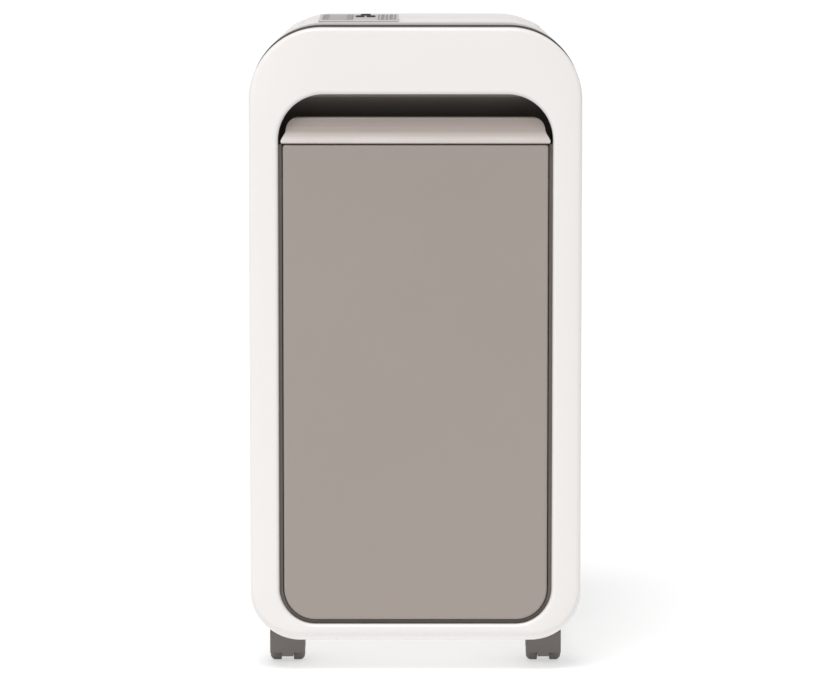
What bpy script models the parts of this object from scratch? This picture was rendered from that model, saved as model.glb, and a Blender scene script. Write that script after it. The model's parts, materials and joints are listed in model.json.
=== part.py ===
"""Deskside paper shredder on casters, with a pull-out waste bin and a geared cutting head.

Frame: +Z up, the front faces -Y, and the origin is on the floor under the middle of the machine.
Blender works in metres, and sizes below are written in millimetres times MM.
"""

import bmesh
import bpy
from math import acos, cos, hypot, pi, radians, sin, tan
from mathutils import Matrix, Vector

MM = 0.001

# ---- Overall sizes -------------------------------------------------------------------------------
WIDTH = 330 * MM
DEPTH = 400 * MM
BEZEL_TOP = 643 * MM
HALF_W = WIDTH / 2
FRONT_Y = -DEPTH / 2
REAR_Y = DEPTH / 2

# ---- Gaps and walls ------------------------------------------------------------------------------
WALL = 3 * MM
FIT = 0.3 * MM              # gap between pieces that touch
SEAM = 1.2 * MM             # visible gap between casing pieces
BORE_GAP = 0.4 * MM         # around a shaft in its bore

# ---- Casters -------------------------------------------------------------------------------------
WHEEL_R = 16 * MM
WHEEL_WIDTH = 11.2 * MM
WHEEL_SIDES = 16
WEB_HALF = 6 * MM           # half thickness of the hood's middle web
TRAIL = 11 * MM             # wheel axle behind the swivel axis
AXLE_R = 2.5 * MM
STEM_R = 4 * MM
STEM_COLLAR_R = 8 * MM
HOOD_GAP = 1 * MM           # between a wheel's tread and the hood over it
HOOD_FRONT_WALL = 3.5 * MM
SOCKET_R = 9 * MM
SOCKET_HEIGHT = 34 * MM
SOCKET_CLEARANCE = 1.5 * MM     # between a caster's socket and the bin beside it
CASTER_FRONT_INSET = 62 * MM
CASTER_REAR_INSET = 55 * MM
AXLE_Z = WHEEL_R * cos(pi / WHEEL_SIDES)  # each wheel stands on one of its flats

# ---- Casing --------------------------------------------------------------------------------------
BODY_BOTTOM = 2 * WHEEL_R + 4 * MM
BEZEL_BOTTOM = BODY_BOTTOM - 5 * MM     # the bezel hides the top of the wheels
HOOD_TOP = BODY_BOTTOM - 1.6 * MM
DECK_Z = BEZEL_TOP + 4.5 * MM   # flat top of the machine, a small step above the bezel
BEZEL_DEPTH = 32 * MM
BEZEL_R_TOP = 72 * MM
BEZEL_R_BOTTOM = 50 * MM
BODY_R_TOP = BEZEL_R_TOP + 4 * MM
BODY_R_BOTTOM = BEZEL_R_BOTTOM
FRAME_THICKNESS = 5 * MM    # dark front frame, seen as a line between bezel and body
FRAME_INSET = 0.6 * MM
BACK_STEP = 3 * MM          # how far the cord gland stands out behind the back
BACK_FACE_Y = REAR_Y - BACK_STEP
BACK_DEPTH = 12 * MM
BACK_EDGE_R = 6 * MM
BODY_FRONT_Y = FRONT_Y + BEZEL_DEPTH + FIT + FRAME_THICKNESS + FIT
BODY_REAR_Y = BACK_FACE_Y - BACK_DEPTH - SEAM
TRAY_RIM_Z = BODY_BOTTOM + BODY_R_BOTTOM + 4 * MM

# ---- Front opening -------------------------------------------------------------------------------
SIDE_BAND = 29.2 * MM
BOTTOM_BAND = 17.5 * MM
TOP_BAND = 65.5 * MM
OPENING_HALF_W = HALF_W - SIDE_BAND
OPENING_LOW = BEZEL_BOTTOM + BOTTOM_BAND
OPENING_HIGH = BEZEL_TOP - TOP_BAND
OPENING_R_TOP = 45 * MM
OPENING_R_BOTTOM = 36 * MM
SLEEVE_SET_BACK = 7.3 * MM  # the dark sleeve starts behind the bezel's rounded inner edge
SLEEVE_OFFSET = 0.8 * MM
SLEEVE_WALL = 2.5 * MM
RECESS_DEPTH = 60 * MM
RECESS_BACK_Y = FRONT_Y + RECESS_DEPTH

# ---- Cutting head --------------------------------------------------------------------------------
CUTTER_DROP = 87.5 * MM     # cutter axes below the deck
SHELF_DROP = 74 * MM        # shelf below the cutter axes
SHELF_THICKNESS = 4 * MM
DRIVE_SPACE = 180 * MM      # from the back to the middle of the cutters
CUTTER_Z = DECK_Z - CUTTER_DROP
SHELF_Z = CUTTER_Z - SHELF_DROP
SPLIT_Z = SHELF_Z + 14 * MM     # where the head casing meets the cabinet
CUTTER_MID_Y = REAR_Y - DRIVE_SPACE
PLATE_THICKNESS = 3 * MM
GEAR_WIDTH = 10 * MM
FINE_WIDTH = 8 * MM
LAYER_GAP = 2 * MM          # between gear layers
DRIVE_ROOM = 12 * MM        # between the last gear layer and the casing
PLATE_IN = HALF_W - WALL - DRIVE_ROOM - GEAR_WIDTH - FINE_WIDTH - 3 * LAYER_GAP - PLATE_THICKNESS
PLATE_OUT = PLATE_IN + PLATE_THICKNESS
TRAIN_IN = PLATE_OUT + LAYER_GAP        # first gear layer, outside each side plate
FINE_IN = TRAIN_IN + GEAR_WIDTH + LAYER_GAP
GEAR_MODULE = 2 * MM
FINE_MODULE = 1.5 * MM
SYNC_TEETH = 16
FINAL_TEETH = 36
IDLER_SMALL_TEETH = 14
IDLER_BIG_TEETH = 48
PINION_TEETH = 12
MESH_SLACK = 0.1 * MM       # gear centres stand this much further apart than the pitch circles
IDLER_ANGLE = radians(-20)
PINION_ANGLE = radians(20)
IDLER_PIN_R = 5 * MM
SHAFT_SPACING = GEAR_MODULE * SYNC_TEETH
FRONT_SHAFT_Y = CUTTER_MID_Y - SHAFT_SPACING / 2
REAR_SHAFT_Y = CUTTER_MID_Y + SHAFT_SPACING / 2
DISC_OVERLAP = 2.4 * MM     # how far each disc reaches past the middle between the shafts
DISC_R = SHAFT_SPACING / 2 + DISC_OVERLAP
CORE_R = SHAFT_SPACING - DISC_R - 1 * MM
DISC_COUNT = 12
ROW_END = 7.8 * MM          # from a side plate to where the row of discs starts
DISC_PITCH = 2 * (PLATE_IN - ROW_END) / DISC_COUNT
DISC_GAP = 0.7 * MM
DISC_WIDTH = DISC_PITCH / 2 - 2 * DISC_GAP
JOURNAL_R = 7 * MM
BEARING_R = 11.6 * MM
TIE_ROD_R = 4 * MM
TIE_ROD_Z = SHELF_Z + 19 * MM
TIE_RODS = {"tie_rod_front": CUTTER_MID_Y - 43 * MM, "tie_rod_rear": CUTTER_MID_Y + 43 * MM}
IDLER_REACH = GEAR_MODULE * (FINAL_TEETH + IDLER_SMALL_TEETH) / 2 + MESH_SLACK
PINION_REACH = FINE_MODULE * (IDLER_BIG_TEETH + PINION_TEETH) / 2 + MESH_SLACK
IDLER_Y = REAR_SHAFT_Y + IDLER_REACH * cos(IDLER_ANGLE)
IDLER_Z = CUTTER_Z + IDLER_REACH * sin(IDLER_ANGLE)
MOTOR_Y = IDLER_Y + PINION_REACH * cos(PINION_ANGLE)
MOTOR_Z = IDLER_Z + PINION_REACH * sin(PINION_ANGLE)
MOTOR_R = 35 * MM
MOTOR_LENGTH = 118 * MM
MOTOR_NOSE = 12 * MM        # narrower front end of the motor
MOTOR_TAIL = 34 * MM        # narrower rear end
MOTOR_SHAFT_R = 4 * MM

# ---- Bin -----------------------------------------------------------------------------------------
BIN_GAP = 4.5 * MM          # shadow gap between the bin front and the bezel
PANEL_Y = FRONT_Y + 1 * MM
PANEL_DEPTH = 12.5 * MM
PANEL_WALL = 2.5 * MM
PANEL_TOP = OPENING_HIGH - 49.5 * MM
LIP_TOP = OPENING_HIGH - 22.8 * MM
TUB_SIDE_ROOM = 16.5 * MM   # tub wall inside the opening's edge
TUB_BACK_ROOM = 47.2 * MM
TUB_HALF_W = OPENING_HALF_W - TUB_SIDE_ROOM
TUB_FRONT_Y = PANEL_Y + PANEL_DEPTH + FIT
TUB_REAR_Y = BACK_FACE_Y - TUB_BACK_ROOM
TUB_FLOOR = BODY_BOTTOM + 20 * MM
TUB_TOP = SHELF_Z - 8 * MM
TUB_WALL = 2.5 * MM
TUB_RIM = 3.5 * MM
RAIL_WIDTH = 18 * MM
RAIL_HIGH_X = TUB_HALF_W - 16.5 * MM
CASTER_X = TUB_HALF_W + SOCKET_CLEARANCE + SOCKET_R
CASTER_PLACES = {
    "front_left": (-CASTER_X, FRONT_Y + CASTER_FRONT_INSET),
    "front_right": (CASTER_X, FRONT_Y + CASTER_FRONT_INSET),
    "rear_left": (-CASTER_X, REAR_Y - CASTER_REAR_INSET),
    "rear_right": (CASTER_X, REAR_Y - CASTER_REAR_INSET),
}
SOCKET_BOTTOM = BODY_BOTTOM + 0.4 * MM
SOCKET_TOP = BODY_BOTTOM + SOCKET_HEIGHT

# ---- Top -----------------------------------------------------------------------------------------
SLOT_GAP = 6 * MM
THROAT_WALL = 4 * MM
THROAT_HALF_W = PLATE_IN - 1.5 * MM
SLOT_HALF_W = THROAT_HALF_W - THROAT_WALL
THROAT_HALF_DEPTH = SLOT_GAP / 2 + THROAT_WALL + 2 * MM
FLANGE_MARGIN = 7 * MM      # flange beyond the ends of the duct
FLANGE_HALF_DEPTH = 26 * MM
FLANGE_RISE = 2 * MM
CONSOLE_WIDTH = 80 * MM
CONSOLE_LENGTH = 110 * MM
CONSOLE_LOW_X = -HALF_W + 68 * MM
CONSOLE_HIGH_X = CONSOLE_LOW_X + CONSOLE_WIDTH
CONSOLE_LOW_Y = FRONT_Y + 50 * MM
CONSOLE_HIGH_Y = CONSOLE_LOW_Y + CONSOLE_LENGTH
CONSOLE_FRONT_RISE = 1.4 * MM
CONSOLE_REAR_RISE = 5 * MM
CONSOLE_SEAT = 4 * MM       # how far the console lies on the cover round its hole
LENS_LOW_X = CONSOLE_LOW_X + 4 * MM
LENS_HIGH_X = CONSOLE_LOW_X + 34 * MM
LENS_LOW_Y = CONSOLE_LOW_Y + 10 * MM
LENS_HIGH_Y = CONSOLE_HIGH_Y - 10 * MM
LENS_DEPTH = 1 * MM
BUTTONS = {
    "power_button": (CONSOLE_HIGH_X - 33.5 * MM, CONSOLE_HIGH_Y - 22 * MM, 5.2 * MM),
    "reverse_button": (CONSOLE_HIGH_X - 39 * MM, CONSOLE_HIGH_Y - 48 * MM, 4.6 * MM),
    "forward_button": (CONSOLE_HIGH_X - 28 * MM, CONSOLE_HIGH_Y - 48 * MM, 4.6 * MM),
}
BUTTON_GAP = 0.4 * MM
BUTTON_STEM_R = 2 * MM
BOARD_Z = DECK_Z - 17.5 * MM
BOARD_THICKNESS = 1.6 * MM
BOARD_MARGIN = 5 * MM

# ---- Back ----------------------------------------------------------------------------------------
SWITCH_X = -HALF_W + 47 * MM
SWITCH_Z = SPLIT_Z + 35 * MM
SWITCH_HALF_W, SWITCH_HALF_H = 10 * MM, 14 * MM
ROCKER_TILT = radians(6)
GLAND_X = SWITCH_X + 40 * MM
GLAND_Z = SPLIT_Z + 25 * MM
GLAND_R = 6 * MM
GLAND_BORE_R = 3.6 * MM
GLAND_FLANGE_R = 9 * MM
VENT_LOW_X = 20 * MM
VENT_HIGH_X = HALF_W - 53 * MM
VENT_PITCH = 9 * MM
VENT_GAP = 4 * MM
VENT_COUNT = 8

WHITE = (0.86, 0.84, 0.82)
TAUPE = (0.33, 0.29, 0.27)
DARK = (0.035, 0.032, 0.03)
CASTER_GREY = (0.15, 0.13, 0.125)


# ---- Scene and helpers ---------------------------------------------------------------------------
for old in list(bpy.data.objects):
    bpy.data.objects.remove(old)


def new_collection(name, hidden=False):
    made = bpy.data.collections.new(name)
    bpy.context.scene.collection.children.link(made)
    made.hide_render = hidden
    return made


PARTS = new_collection("paper_shredder")
CUTTERS = new_collection("cutters", hidden=True)


def material(name, colour, roughness, metallic=0.0):
    made = bpy.data.materials.new(name)
    made.use_nodes = True
    shader = made.node_tree.nodes["Principled BSDF"]
    shader.inputs["Base Color"].default_value = (*colour, 1)
    shader.inputs["Roughness"].default_value = roughness
    shader.inputs["Metallic"].default_value = metallic
    made.diffuse_color = (*colour, 1)
    return made


GLOSS_WHITE = material("gloss_white", WHITE, 0.25)
SHELL_WHITE = material("shell_white", WHITE, 0.45)
BIN_TAUPE = material("bin_taupe", TAUPE, 0.35)
DARK_PLASTIC = material("dark_plastic", DARK, 0.5)
CASTER_PLASTIC = material("caster_plastic", CASTER_GREY, 0.5)
STEEL = material("steel", (0.55, 0.55, 0.56), 0.35, 1.0)
ZINC = material("zinc_plate", (0.62, 0.63, 0.64), 0.45, 1.0)
NYLON = material("nylon", (0.75, 0.73, 0.66), 0.5)
BOARD_GREEN = material("board_green", (0.02, 0.12, 0.05), 0.5)
SMOKED = material("smoked_lens", (0.10, 0.10, 0.10), 0.1)

SMOOTH_ANGLE = radians(35)
ROTATIONS = {
    # How an outline's (across, up, out) directions lie in the machine's frame.
    "X": Matrix(((0, 0, 1), (1, 0, 0), (0, 1, 0))).to_4x4(),
    "Y": Matrix(((1, 0, 0), (0, 0, -1), (0, 1, 0))).to_4x4(),
    "Z": Matrix.Identity(4),
}
AXIS_INDEX = {"X": 0, "Y": 1, "Z": 2}


def add_object(name, mesh, finish=None, matrix=None):
    made = bpy.data.objects.new(name, mesh)
    (PARTS if finish else CUTTERS).objects.link(made)
    if matrix is not None:
        made.matrix_world = matrix
    if finish:
        mesh.materials.clear()
        mesh.materials.append(finish)
    else:
        made.hide_render = True
        made.display_type = "WIRE"
    return made


def arc(centre, radius, start, end, steps):
    """Points on an arc, angles in degrees, both ends included."""
    turns = [radians(start + (end - start) * k / steps) for k in range(steps + 1)]
    return [(centre[0] + radius * cos(a), centre[1] + radius * sin(a)) for a in turns]


def rounded(half_w, low, high, r_low, r_high, steps=8):
    """An upright rounded rectangle about the middle plane, anticlockwise from its lower right corner."""
    return (
        arc((half_w - r_low, low + r_low), r_low, -90, 0, steps)
        + arc((half_w - r_high, high - r_high), r_high, 0, 90, steps)
        + arc((-half_w + r_high, high - r_high), r_high, 90, 180, steps)
        + arc((-half_w + r_low, low + r_low), r_low, 180, 270, steps)
    )


def rectangle(low_a, high_a, low_b, high_b, radius=0.0, steps=4):
    if not radius:
        return [(low_a, low_b), (high_a, low_b), (high_a, high_b), (low_a, high_b)]
    return (
        arc((high_a - radius, low_b + radius), radius, -90, 0, steps)
        + arc((high_a - radius, high_b - radius), radius, 0, 90, steps)
        + arc((low_a + radius, high_b - radius), radius, 90, 180, steps)
        + arc((low_a + radius, low_b + radius), radius, 180, 270, steps)
    )


def circle(centre, radius, steps=24):
    return arc(centre, radius, 0, 360, steps)[:-1]


def prism(name, loops, axis, low, high, finish=None, origin=(0, 0, 0)):
    """A flat outline, with holes where loops lie inside it, made solid along one axis of the frame.

    The outline lies in YZ for X, XZ for Y and XY for Z. Its object's origin is put at origin.
    """
    curve = bpy.data.curves.new(name, "CURVE")
    curve.dimensions = "2D"
    curve.fill_mode = "BOTH"
    curve.extrude = (high - low) / 2
    for loop in loops:
        spline = curve.splines.new("POLY")
        spline.points.add(len(loop) - 1)
        for point, (a, b) in zip(spline.points, loop):
            point.co = (a, b, 0, 1)
        spline.use_cyclic_u = True
    drawn = bpy.data.objects.new(name + "_outline", curve)
    bpy.context.scene.collection.objects.link(drawn)
    middle = Vector((0, 0, 0))
    middle[AXIS_INDEX[axis]] = (low + high) / 2
    drawn.matrix_world = Matrix.Translation(middle) @ ROTATIONS[axis]
    mesh = evaluated_mesh(drawn)
    mesh.transform(Matrix.Translation(-Vector(origin)) @ drawn.matrix_world)
    bpy.data.objects.remove(drawn)
    bpy.data.curves.remove(curve)
    weld(mesh)
    smooth(mesh)
    return add_object(name, mesh, finish, Matrix.Translation(origin))


def evaluated_mesh(item):
    bpy.context.view_layer.update()
    graph = bpy.context.evaluated_depsgraph_get()
    return bpy.data.meshes.new_from_object(item.evaluated_get(graph))


def smooth(mesh):
    """Shades round stretches smooth and leaves real edges sharp."""
    mesh.shade_smooth()
    mesh.set_sharp_from_angle(angle=SMOOTH_ANGLE)


def weld(mesh):
    shape = bmesh.new()
    shape.from_mesh(mesh)
    bmesh.ops.remove_doubles(shape, verts=shape.verts, dist=0.001 * MM)
    bmesh.ops.recalc_face_normals(shape, faces=shape.faces)
    shape.to_mesh(mesh)
    shape.free()


def block(name, low, high, finish=None):
    """A box between two corners."""
    shape = bmesh.new()
    bmesh.ops.create_cube(shape, size=1)
    size = Vector(high) - Vector(low)
    bmesh.ops.scale(shape, vec=size, verts=shape.verts)
    bmesh.ops.translate(shape, vec=(Vector(low) + Vector(high)) / 2, verts=shape.verts)
    mesh = bpy.data.meshes.new(name)
    shape.to_mesh(mesh)
    shape.free()
    return add_object(name, mesh, finish)


def turned(name, profile, axis, centre, steps, finish=None, closed=False, phase=0.0):
    """A turned piece. The profile is (radius, height) down its outer side, and the axis passes through centre."""
    mesh = bpy.data.meshes.new(name)
    edges = [(k, k + 1) for k in range(len(profile) - 1)]
    if closed:
        edges.append((len(profile) - 1, 0))
    mesh.from_pydata([(r, 0, h) for r, h in profile], edges, [])
    upright = ROTATIONS["X"] if axis == "X" else Matrix.Identity(4)
    turn = Matrix.Rotation(phase, 4, "Z")
    made = add_object(name, mesh, finish, Matrix.Translation(centre) @ upright @ turn)
    screw = made.modifiers.new("Screw", "SCREW")
    screw.steps = screw.render_steps = steps
    screw.use_merge_vertices = True
    screw.merge_threshold = 0.01 * MM
    solid = evaluated_mesh(made)
    smooth(solid)
    made.modifiers.clear()
    made.data = solid
    bpy.data.meshes.remove(mesh)
    return made


def rod(name, radius, axis, centre, low, high, finish=None, steps=16, phase=0.0):
    """A plain cylinder from low to high along its axis, measured from centre."""
    profile = [(0, high), (radius, high), (radius, low), (0, low)]
    return turned(name, profile, axis, centre, steps, finish, phase=phase)


def boolean(target, tool, operation):
    step = target.modifiers.new(operation.title(), "BOOLEAN")
    step.operation = operation
    step.object = tool
    step.solver = "EXACT"


def cut(target, *tools):
    for tool in tools:
        boolean(target, tool, "DIFFERENCE")


def join(target, *tools):
    for tool in tools:
        boolean(target, tool, "UNION")


def round_edges(piece, width, segments=2, angle=40):
    bevel = piece.modifiers.new("Bevel", "BEVEL")
    bevel.width = width
    bevel.segments = segments
    bevel.limit_method = "ANGLE"
    bevel.angle_limit = radians(angle)


def dish(name, outline, axis, face, rim, wall, edge_radius, finish, segments=2):
    """An open tray: a flat face with an outline, walls from it to the rim, a rounded edge between and one wall."""
    mesh = bpy.data.meshes.new(name)
    shape = bmesh.new()
    floor = shape.faces.new([shape.verts.new((a, b, face)) for a, b in outline])
    sides = bmesh.ops.extrude_edge_only(shape, edges=floor.edges)
    moved = [v for v in sides["geom"] if isinstance(v, bmesh.types.BMVert)]
    bmesh.ops.translate(shape, vec=(0, 0, rim - face), verts=moved)
    bmesh.ops.recalc_face_normals(shape, faces=shape.faces)
    middle = sum((v.co for v in shape.verts), Vector()) / len(shape.verts)
    if floor.normal.dot(floor.calc_center_median() - middle) < 0:
        bmesh.ops.reverse_faces(shape, faces=shape.faces)
    shape.transform(ROTATIONS[axis])
    shape.to_mesh(mesh)
    shape.free()
    made = add_object(name, mesh, finish)
    round_edges(made, edge_radius, segments, 50)
    solid = made.modifiers.new("Solidify", "SOLIDIFY")
    solid.thickness = wall
    solid.offset = -1
    solid.use_even_offset = True
    return made


def pivot(name, location, *pieces):
    """An empty on a joint's axis, which carries the pieces that move with it."""
    empty = bpy.data.objects.new(name, None)
    PARTS.objects.link(empty)
    empty.location = location
    bpy.context.view_layer.update()
    for piece in pieces:
        place = piece.matrix_world.copy()
        piece.parent = empty
        piece.matrix_world = place


# ---- Casing --------------------------------------------------------------------------------------
def outside_distance(point, half_w, low, high, r_low, r_high):
    """Signed distance from a rounded rectangle's edge, negative inside."""
    x, z = abs(point[0]), point[1]
    radius = r_high if z > (low + high) / 2 else r_low
    dx = x - (half_w - radius)
    dz = max(z - (high - r_high), (low + r_low) - z)
    corner = hypot(max(dx, 0), max(dz, 0))
    return corner + min(max(dx, dz), 0) - radius


def ray_to_edge(start, heading, outline):
    """Where a ray from inside a rounded rectangle meets its edge."""
    near, far = 0.0, WIDTH
    for _ in range(40):
        middle = (near + far) / 2
        point = (start[0] + heading[0] * middle, start[1] + heading[1] * middle)
        if outside_distance(point, *outline) < 0:
            near = middle
        else:
            far = middle
    return (start[0] + heading[0] * near, start[1] + heading[1] * near)


def bezel_section(band, below):
    """The bezel's section across its band: (distance from the opening, depth behind the front) points.

    below is 1 on the bottom band, whose face rolls under, and 0 on the sides and the top.
    """
    tilt = 0.05
    inner_r = 3 * MM
    return_end = 7 * MM
    outer_r = 5 * MM + below * 8 * MM
    hollow_r = max(outer_r - WALL, 0.5 * MM)
    start = band - outer_r
    lean = tilt * (1 - below)

    def face(radius, degrees):
        across = start + radius * sin(radians(degrees))
        return (across, outer_r - radius * cos(radians(degrees)) + lean * across)

    section = [(0, return_end), (0, inner_r), (0.29 * inner_r, 0.29 * inner_r), (inner_r, lean * inner_r)]
    section += [face(outer_r, degrees) for degrees in (0, 30, 60, 90)]
    section += [(band, BEZEL_DEPTH), (band - WALL, BEZEL_DEPTH)]
    section += [face(hollow_r, degrees) for degrees in (90, 45, 0)]
    section += [(WALL, WALL + lean * WALL), (WALL, return_end)]
    return section


def front_bezel():
    """A loft round the opening: each station's section runs from the opening's edge to the outer edge."""
    outer = (HALF_W, BEZEL_BOTTOM, BEZEL_TOP, BEZEL_R_BOTTOM, BEZEL_R_TOP)
    corners = [
        (1, OPENING_LOW, OPENING_R_BOTTOM, -90),
        (1, OPENING_HIGH, OPENING_R_TOP, 0),
        (-1, OPENING_HIGH, OPENING_R_TOP, 90),
        (-1, OPENING_LOW, OPENING_R_BOTTOM, 180),
    ]
    steps = 8
    shape = bmesh.new()
    rings = []
    for side, edge_z, radius, first in corners:
        inward = 1 if edge_z == OPENING_LOW else -1
        centre = (side * (OPENING_HALF_W - radius), edge_z + inward * radius)
        for k in range(steps + 1):
            angle = radians(first + 90 * k / steps)
            heading = (cos(angle), sin(angle))
            near = (centre[0] + radius * heading[0], centre[1] + radius * heading[1])
            far = ray_to_edge(centre, heading, outer)
            band = hypot(far[0] - near[0], far[1] - near[1])
            below = max(0.0, -heading[1]) ** 1.5
            ring = [
                shape.verts.new((near[0] + heading[0] * a, FRONT_Y + d, near[1] + heading[1] * a))
                for a, d in bezel_section(band, below)
            ]
            rings.append(ring)
    for ring, after in zip(rings, rings[1:] + rings[:1]):
        for k, vert in enumerate(ring):
            other = (k + 1) % len(ring)
            shape.faces.new((vert, ring[other], after[other], after[k]))
    bmesh.ops.recalc_face_normals(shape, faces=shape.faces)
    mesh = bpy.data.meshes.new("front_bezel")
    shape.to_mesh(mesh)
    shape.free()
    add_object("front_bezel", mesh, GLOSS_WHITE)


def opening_outline(grow, steps=8):
    """The front opening's outline, made larger all round."""
    return rounded(OPENING_HALF_W + grow, OPENING_LOW - grow, OPENING_HIGH + grow,
                   OPENING_R_BOTTOM + grow, OPENING_R_TOP + grow, steps)


def front_frame():
    """The dark frame between bezel and body, with a sleeve that lines the opening."""
    plate_front = FRONT_Y + BEZEL_DEPTH + FIT
    inset = FRAME_INSET
    outer = rounded(HALF_W - inset, BODY_BOTTOM + inset, DECK_Z - inset,
                    BODY_R_BOTTOM - inset, BODY_R_TOP - inset)
    middle = SLEEVE_OFFSET + SLEEVE_WALL / 2
    frame = prism("front_frame", [outer, opening_outline(middle)], "Y",
                  plate_front, plate_front + FRAME_THICKNESS, DARK_PLASTIC)
    sleeve = [opening_outline(SLEEVE_OFFSET + SLEEVE_WALL), opening_outline(SLEEVE_OFFSET)]
    join(frame, prism("frame_sleeve", sleeve, "Y", FRONT_Y + SLEEVE_SET_BACK,
                      plate_front + FRAME_THICKNESS + 4 * MM))


def arch(wall):
    """Half outline of the head casing's arch, from its right foot over the top to its left foot."""
    half, high, radius = HALF_W - wall, DECK_Z - wall, BODY_R_TOP - wall
    foot = SPLIT_Z + SEAM / 2
    return ([(half, foot)] + arc((half - radius, high - radius), radius, 0, 90, 8)
            + arc((-half + radius, high - radius), radius, 90, 180, 8) + [(-half, foot)])


def top_cover():
    cover = prism("top_cover", [arch(0) + arch(WALL)[::-1]], "Y", BODY_FRONT_Y, BODY_REAR_Y, SHELL_WHITE)
    deck = (DECK_Z - 2 * WALL, DECK_Z + WALL)
    margin = CONSOLE_SEAT
    throat = THROAT_HALF_W + SEAM, THROAT_HALF_DEPTH + SEAM
    cut(cover,
        block("throat_hole", (-throat[0], CUTTER_MID_Y - throat[1], deck[0] - 20 * MM),
              (throat[0], CUTTER_MID_Y + throat[1], deck[1])),
        block("console_hole", (CONSOLE_LOW_X + margin, CONSOLE_LOW_Y + margin, deck[0]),
              (CONSOLE_HIGH_X - margin, CONSOLE_HIGH_Y - margin, deck[1])))


def trough(wall):
    """Outline of the base tray's section, from its right rim under the floor to its left rim."""
    half, low, radius = HALF_W - wall, BODY_BOTTOM + wall, BODY_R_BOTTOM - wall
    rim = TRAY_RIM_Z
    return ([(-half, rim)] + arc((-half + radius, low + radius), radius, 180, 270, 8)
            + arc((half - radius, low + radius), radius, 270, 360, 8) + [(half, rim)])


def base_tray():
    """The bottom of the cabinet, with a socket for each caster's stem."""
    tray = prism("base_tray", [trough(0) + trough(WALL)[::-1]], "Y", BODY_FRONT_Y, BODY_REAR_Y, SHELL_WHITE)
    for name, (x, y) in CASTER_PLACES.items():
        join(tray, rod(f"socket_{name}", SOCKET_R, "Z", (x, y, 0), SOCKET_BOTTOM, SOCKET_TOP, steps=16))
    for name, (x, y) in CASTER_PLACES.items():
        cut(tray, rod(f"socket_bore_{name}", STEM_R + BORE_GAP, "Z", (x, y, 0),
                      BODY_BOTTOM - 5 * MM, SOCKET_TOP - WALL, steps=12))


def cabinet_sides():
    for side, name in ((-1, "cabinet_left"), (1, "cabinet_right")):
        edges = sorted((side * (HALF_W - WALL), side * HALF_W))
        block(name, (edges[0], BODY_FRONT_Y, TRAY_RIM_Z + FIT),
              (edges[1], BODY_REAR_Y, SPLIT_Z - SEAM / 2), SHELL_WHITE)


def back_covers():
    """The cabinet's back and the head's vented back, two trays that close the body."""
    rim = BACK_FACE_Y - BACK_DEPTH
    half, low, high = HALF_W, SPLIT_Z - SEAM / 2, SPLIT_Z + SEAM / 2
    lower = (arc((half - BODY_R_BOTTOM, BODY_BOTTOM + BODY_R_BOTTOM), BODY_R_BOTTOM, -90, 0, 8)
             + [(half, low), (-half, low)]
             + arc((-half + BODY_R_BOTTOM, BODY_BOTTOM + BODY_R_BOTTOM), BODY_R_BOTTOM, 180, 270, 8))
    upper = ([(half, high)] + arc((half - BODY_R_TOP, DECK_Z - BODY_R_TOP), BODY_R_TOP, 0, 90, 8)
             + arc((-half + BODY_R_TOP, DECK_Z - BODY_R_TOP), BODY_R_TOP, 90, 180, 8) + [(-half, high)])
    # An outline on Y is drawn with its depth running towards the front, so depths change sign.
    dish("cabinet_back", lower, "Y", -BACK_FACE_Y, -rim, WALL, BACK_EDGE_R, SHELL_WHITE)
    vented = dish("head_back_cover", upper, "Y", -BACK_FACE_Y, -rim, WALL, BACK_EDGE_R, SHELL_WHITE)
    for k in range(VENT_COUNT):
        z = MOTOR_Z + (k - (VENT_COUNT - 1) / 2) * VENT_PITCH
        slot = rectangle(VENT_LOW_X, VENT_HIGH_X, z - VENT_GAP / 2, z + VENT_GAP / 2, VENT_GAP * 0.49, 2)
        cut(vented, prism(f"vent_{k}", [slot], "Y", rim, REAR_Y + WALL))
    cut(vented,
        prism("switch_hole", [rectangle(SWITCH_X - SWITCH_HALF_W, SWITCH_X + SWITCH_HALF_W,
                                        SWITCH_Z - SWITCH_HALF_H, SWITCH_Z + SWITCH_HALF_H)],
              "Y", rim, REAR_Y + WALL),
        prism("gland_hole", [circle((GLAND_X, GLAND_Z), GLAND_R + FIT, 20)], "Y", rim, REAR_Y + WALL))


def head_shelf():
    """The floor of the head, with the chute that drops the waste into the bin."""
    overhang = 3 * MM
    plate = rectangle(-HALF_W + WALL + FIT, HALF_W - WALL - FIT, RECESS_BACK_Y - overhang, BODY_REAR_Y)
    chute_half_w, chute_half_depth = PLATE_IN - 4 * MM, SHAFT_SPACING / 2 + 22 * MM
    chute = rectangle(-chute_half_w, chute_half_w, CUTTER_MID_Y - chute_half_depth,
                      CUTTER_MID_Y + chute_half_depth, 6 * MM)
    prism("head_shelf", [plate, chute], "Z", SHELF_Z, SHELF_Z + SHELF_THICKNESS, ZINC)


def finger_recess():
    """The dark scoop above the bin, which gives fingers room behind the bin's lip."""
    sheet = 2.5 * MM
    front = FRONT_Y + SLEEVE_SET_BACK + 1 * MM
    top = OPENING_HIGH + 0.2 * MM
    foot = SHELF_Z + SHELF_THICKNESS + FIT
    reach = RECESS_BACK_Y - front
    drop = 46 * MM              # height of the recess's curved roof

    def sweep(inset):
        curve = [radians(90 - 90 * k / 8) for k in range(9)]
        return [(front + (reach - inset) * cos(a), top - drop + (drop - inset) * sin(a)) for a in curve]

    section = sweep(0) + [(RECESS_BACK_Y, foot), (RECESS_BACK_Y - sheet, foot)] + sweep(sheet)[::-1]
    liner = prism("finger_recess", [section], "X", -HALF_W, HALF_W, DARK_PLASTIC)
    boolean(liner, prism("recess_bounds", [opening_outline(0.3 * MM)], "Y", FRONT_Y, 0), "INTERSECT")


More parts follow.
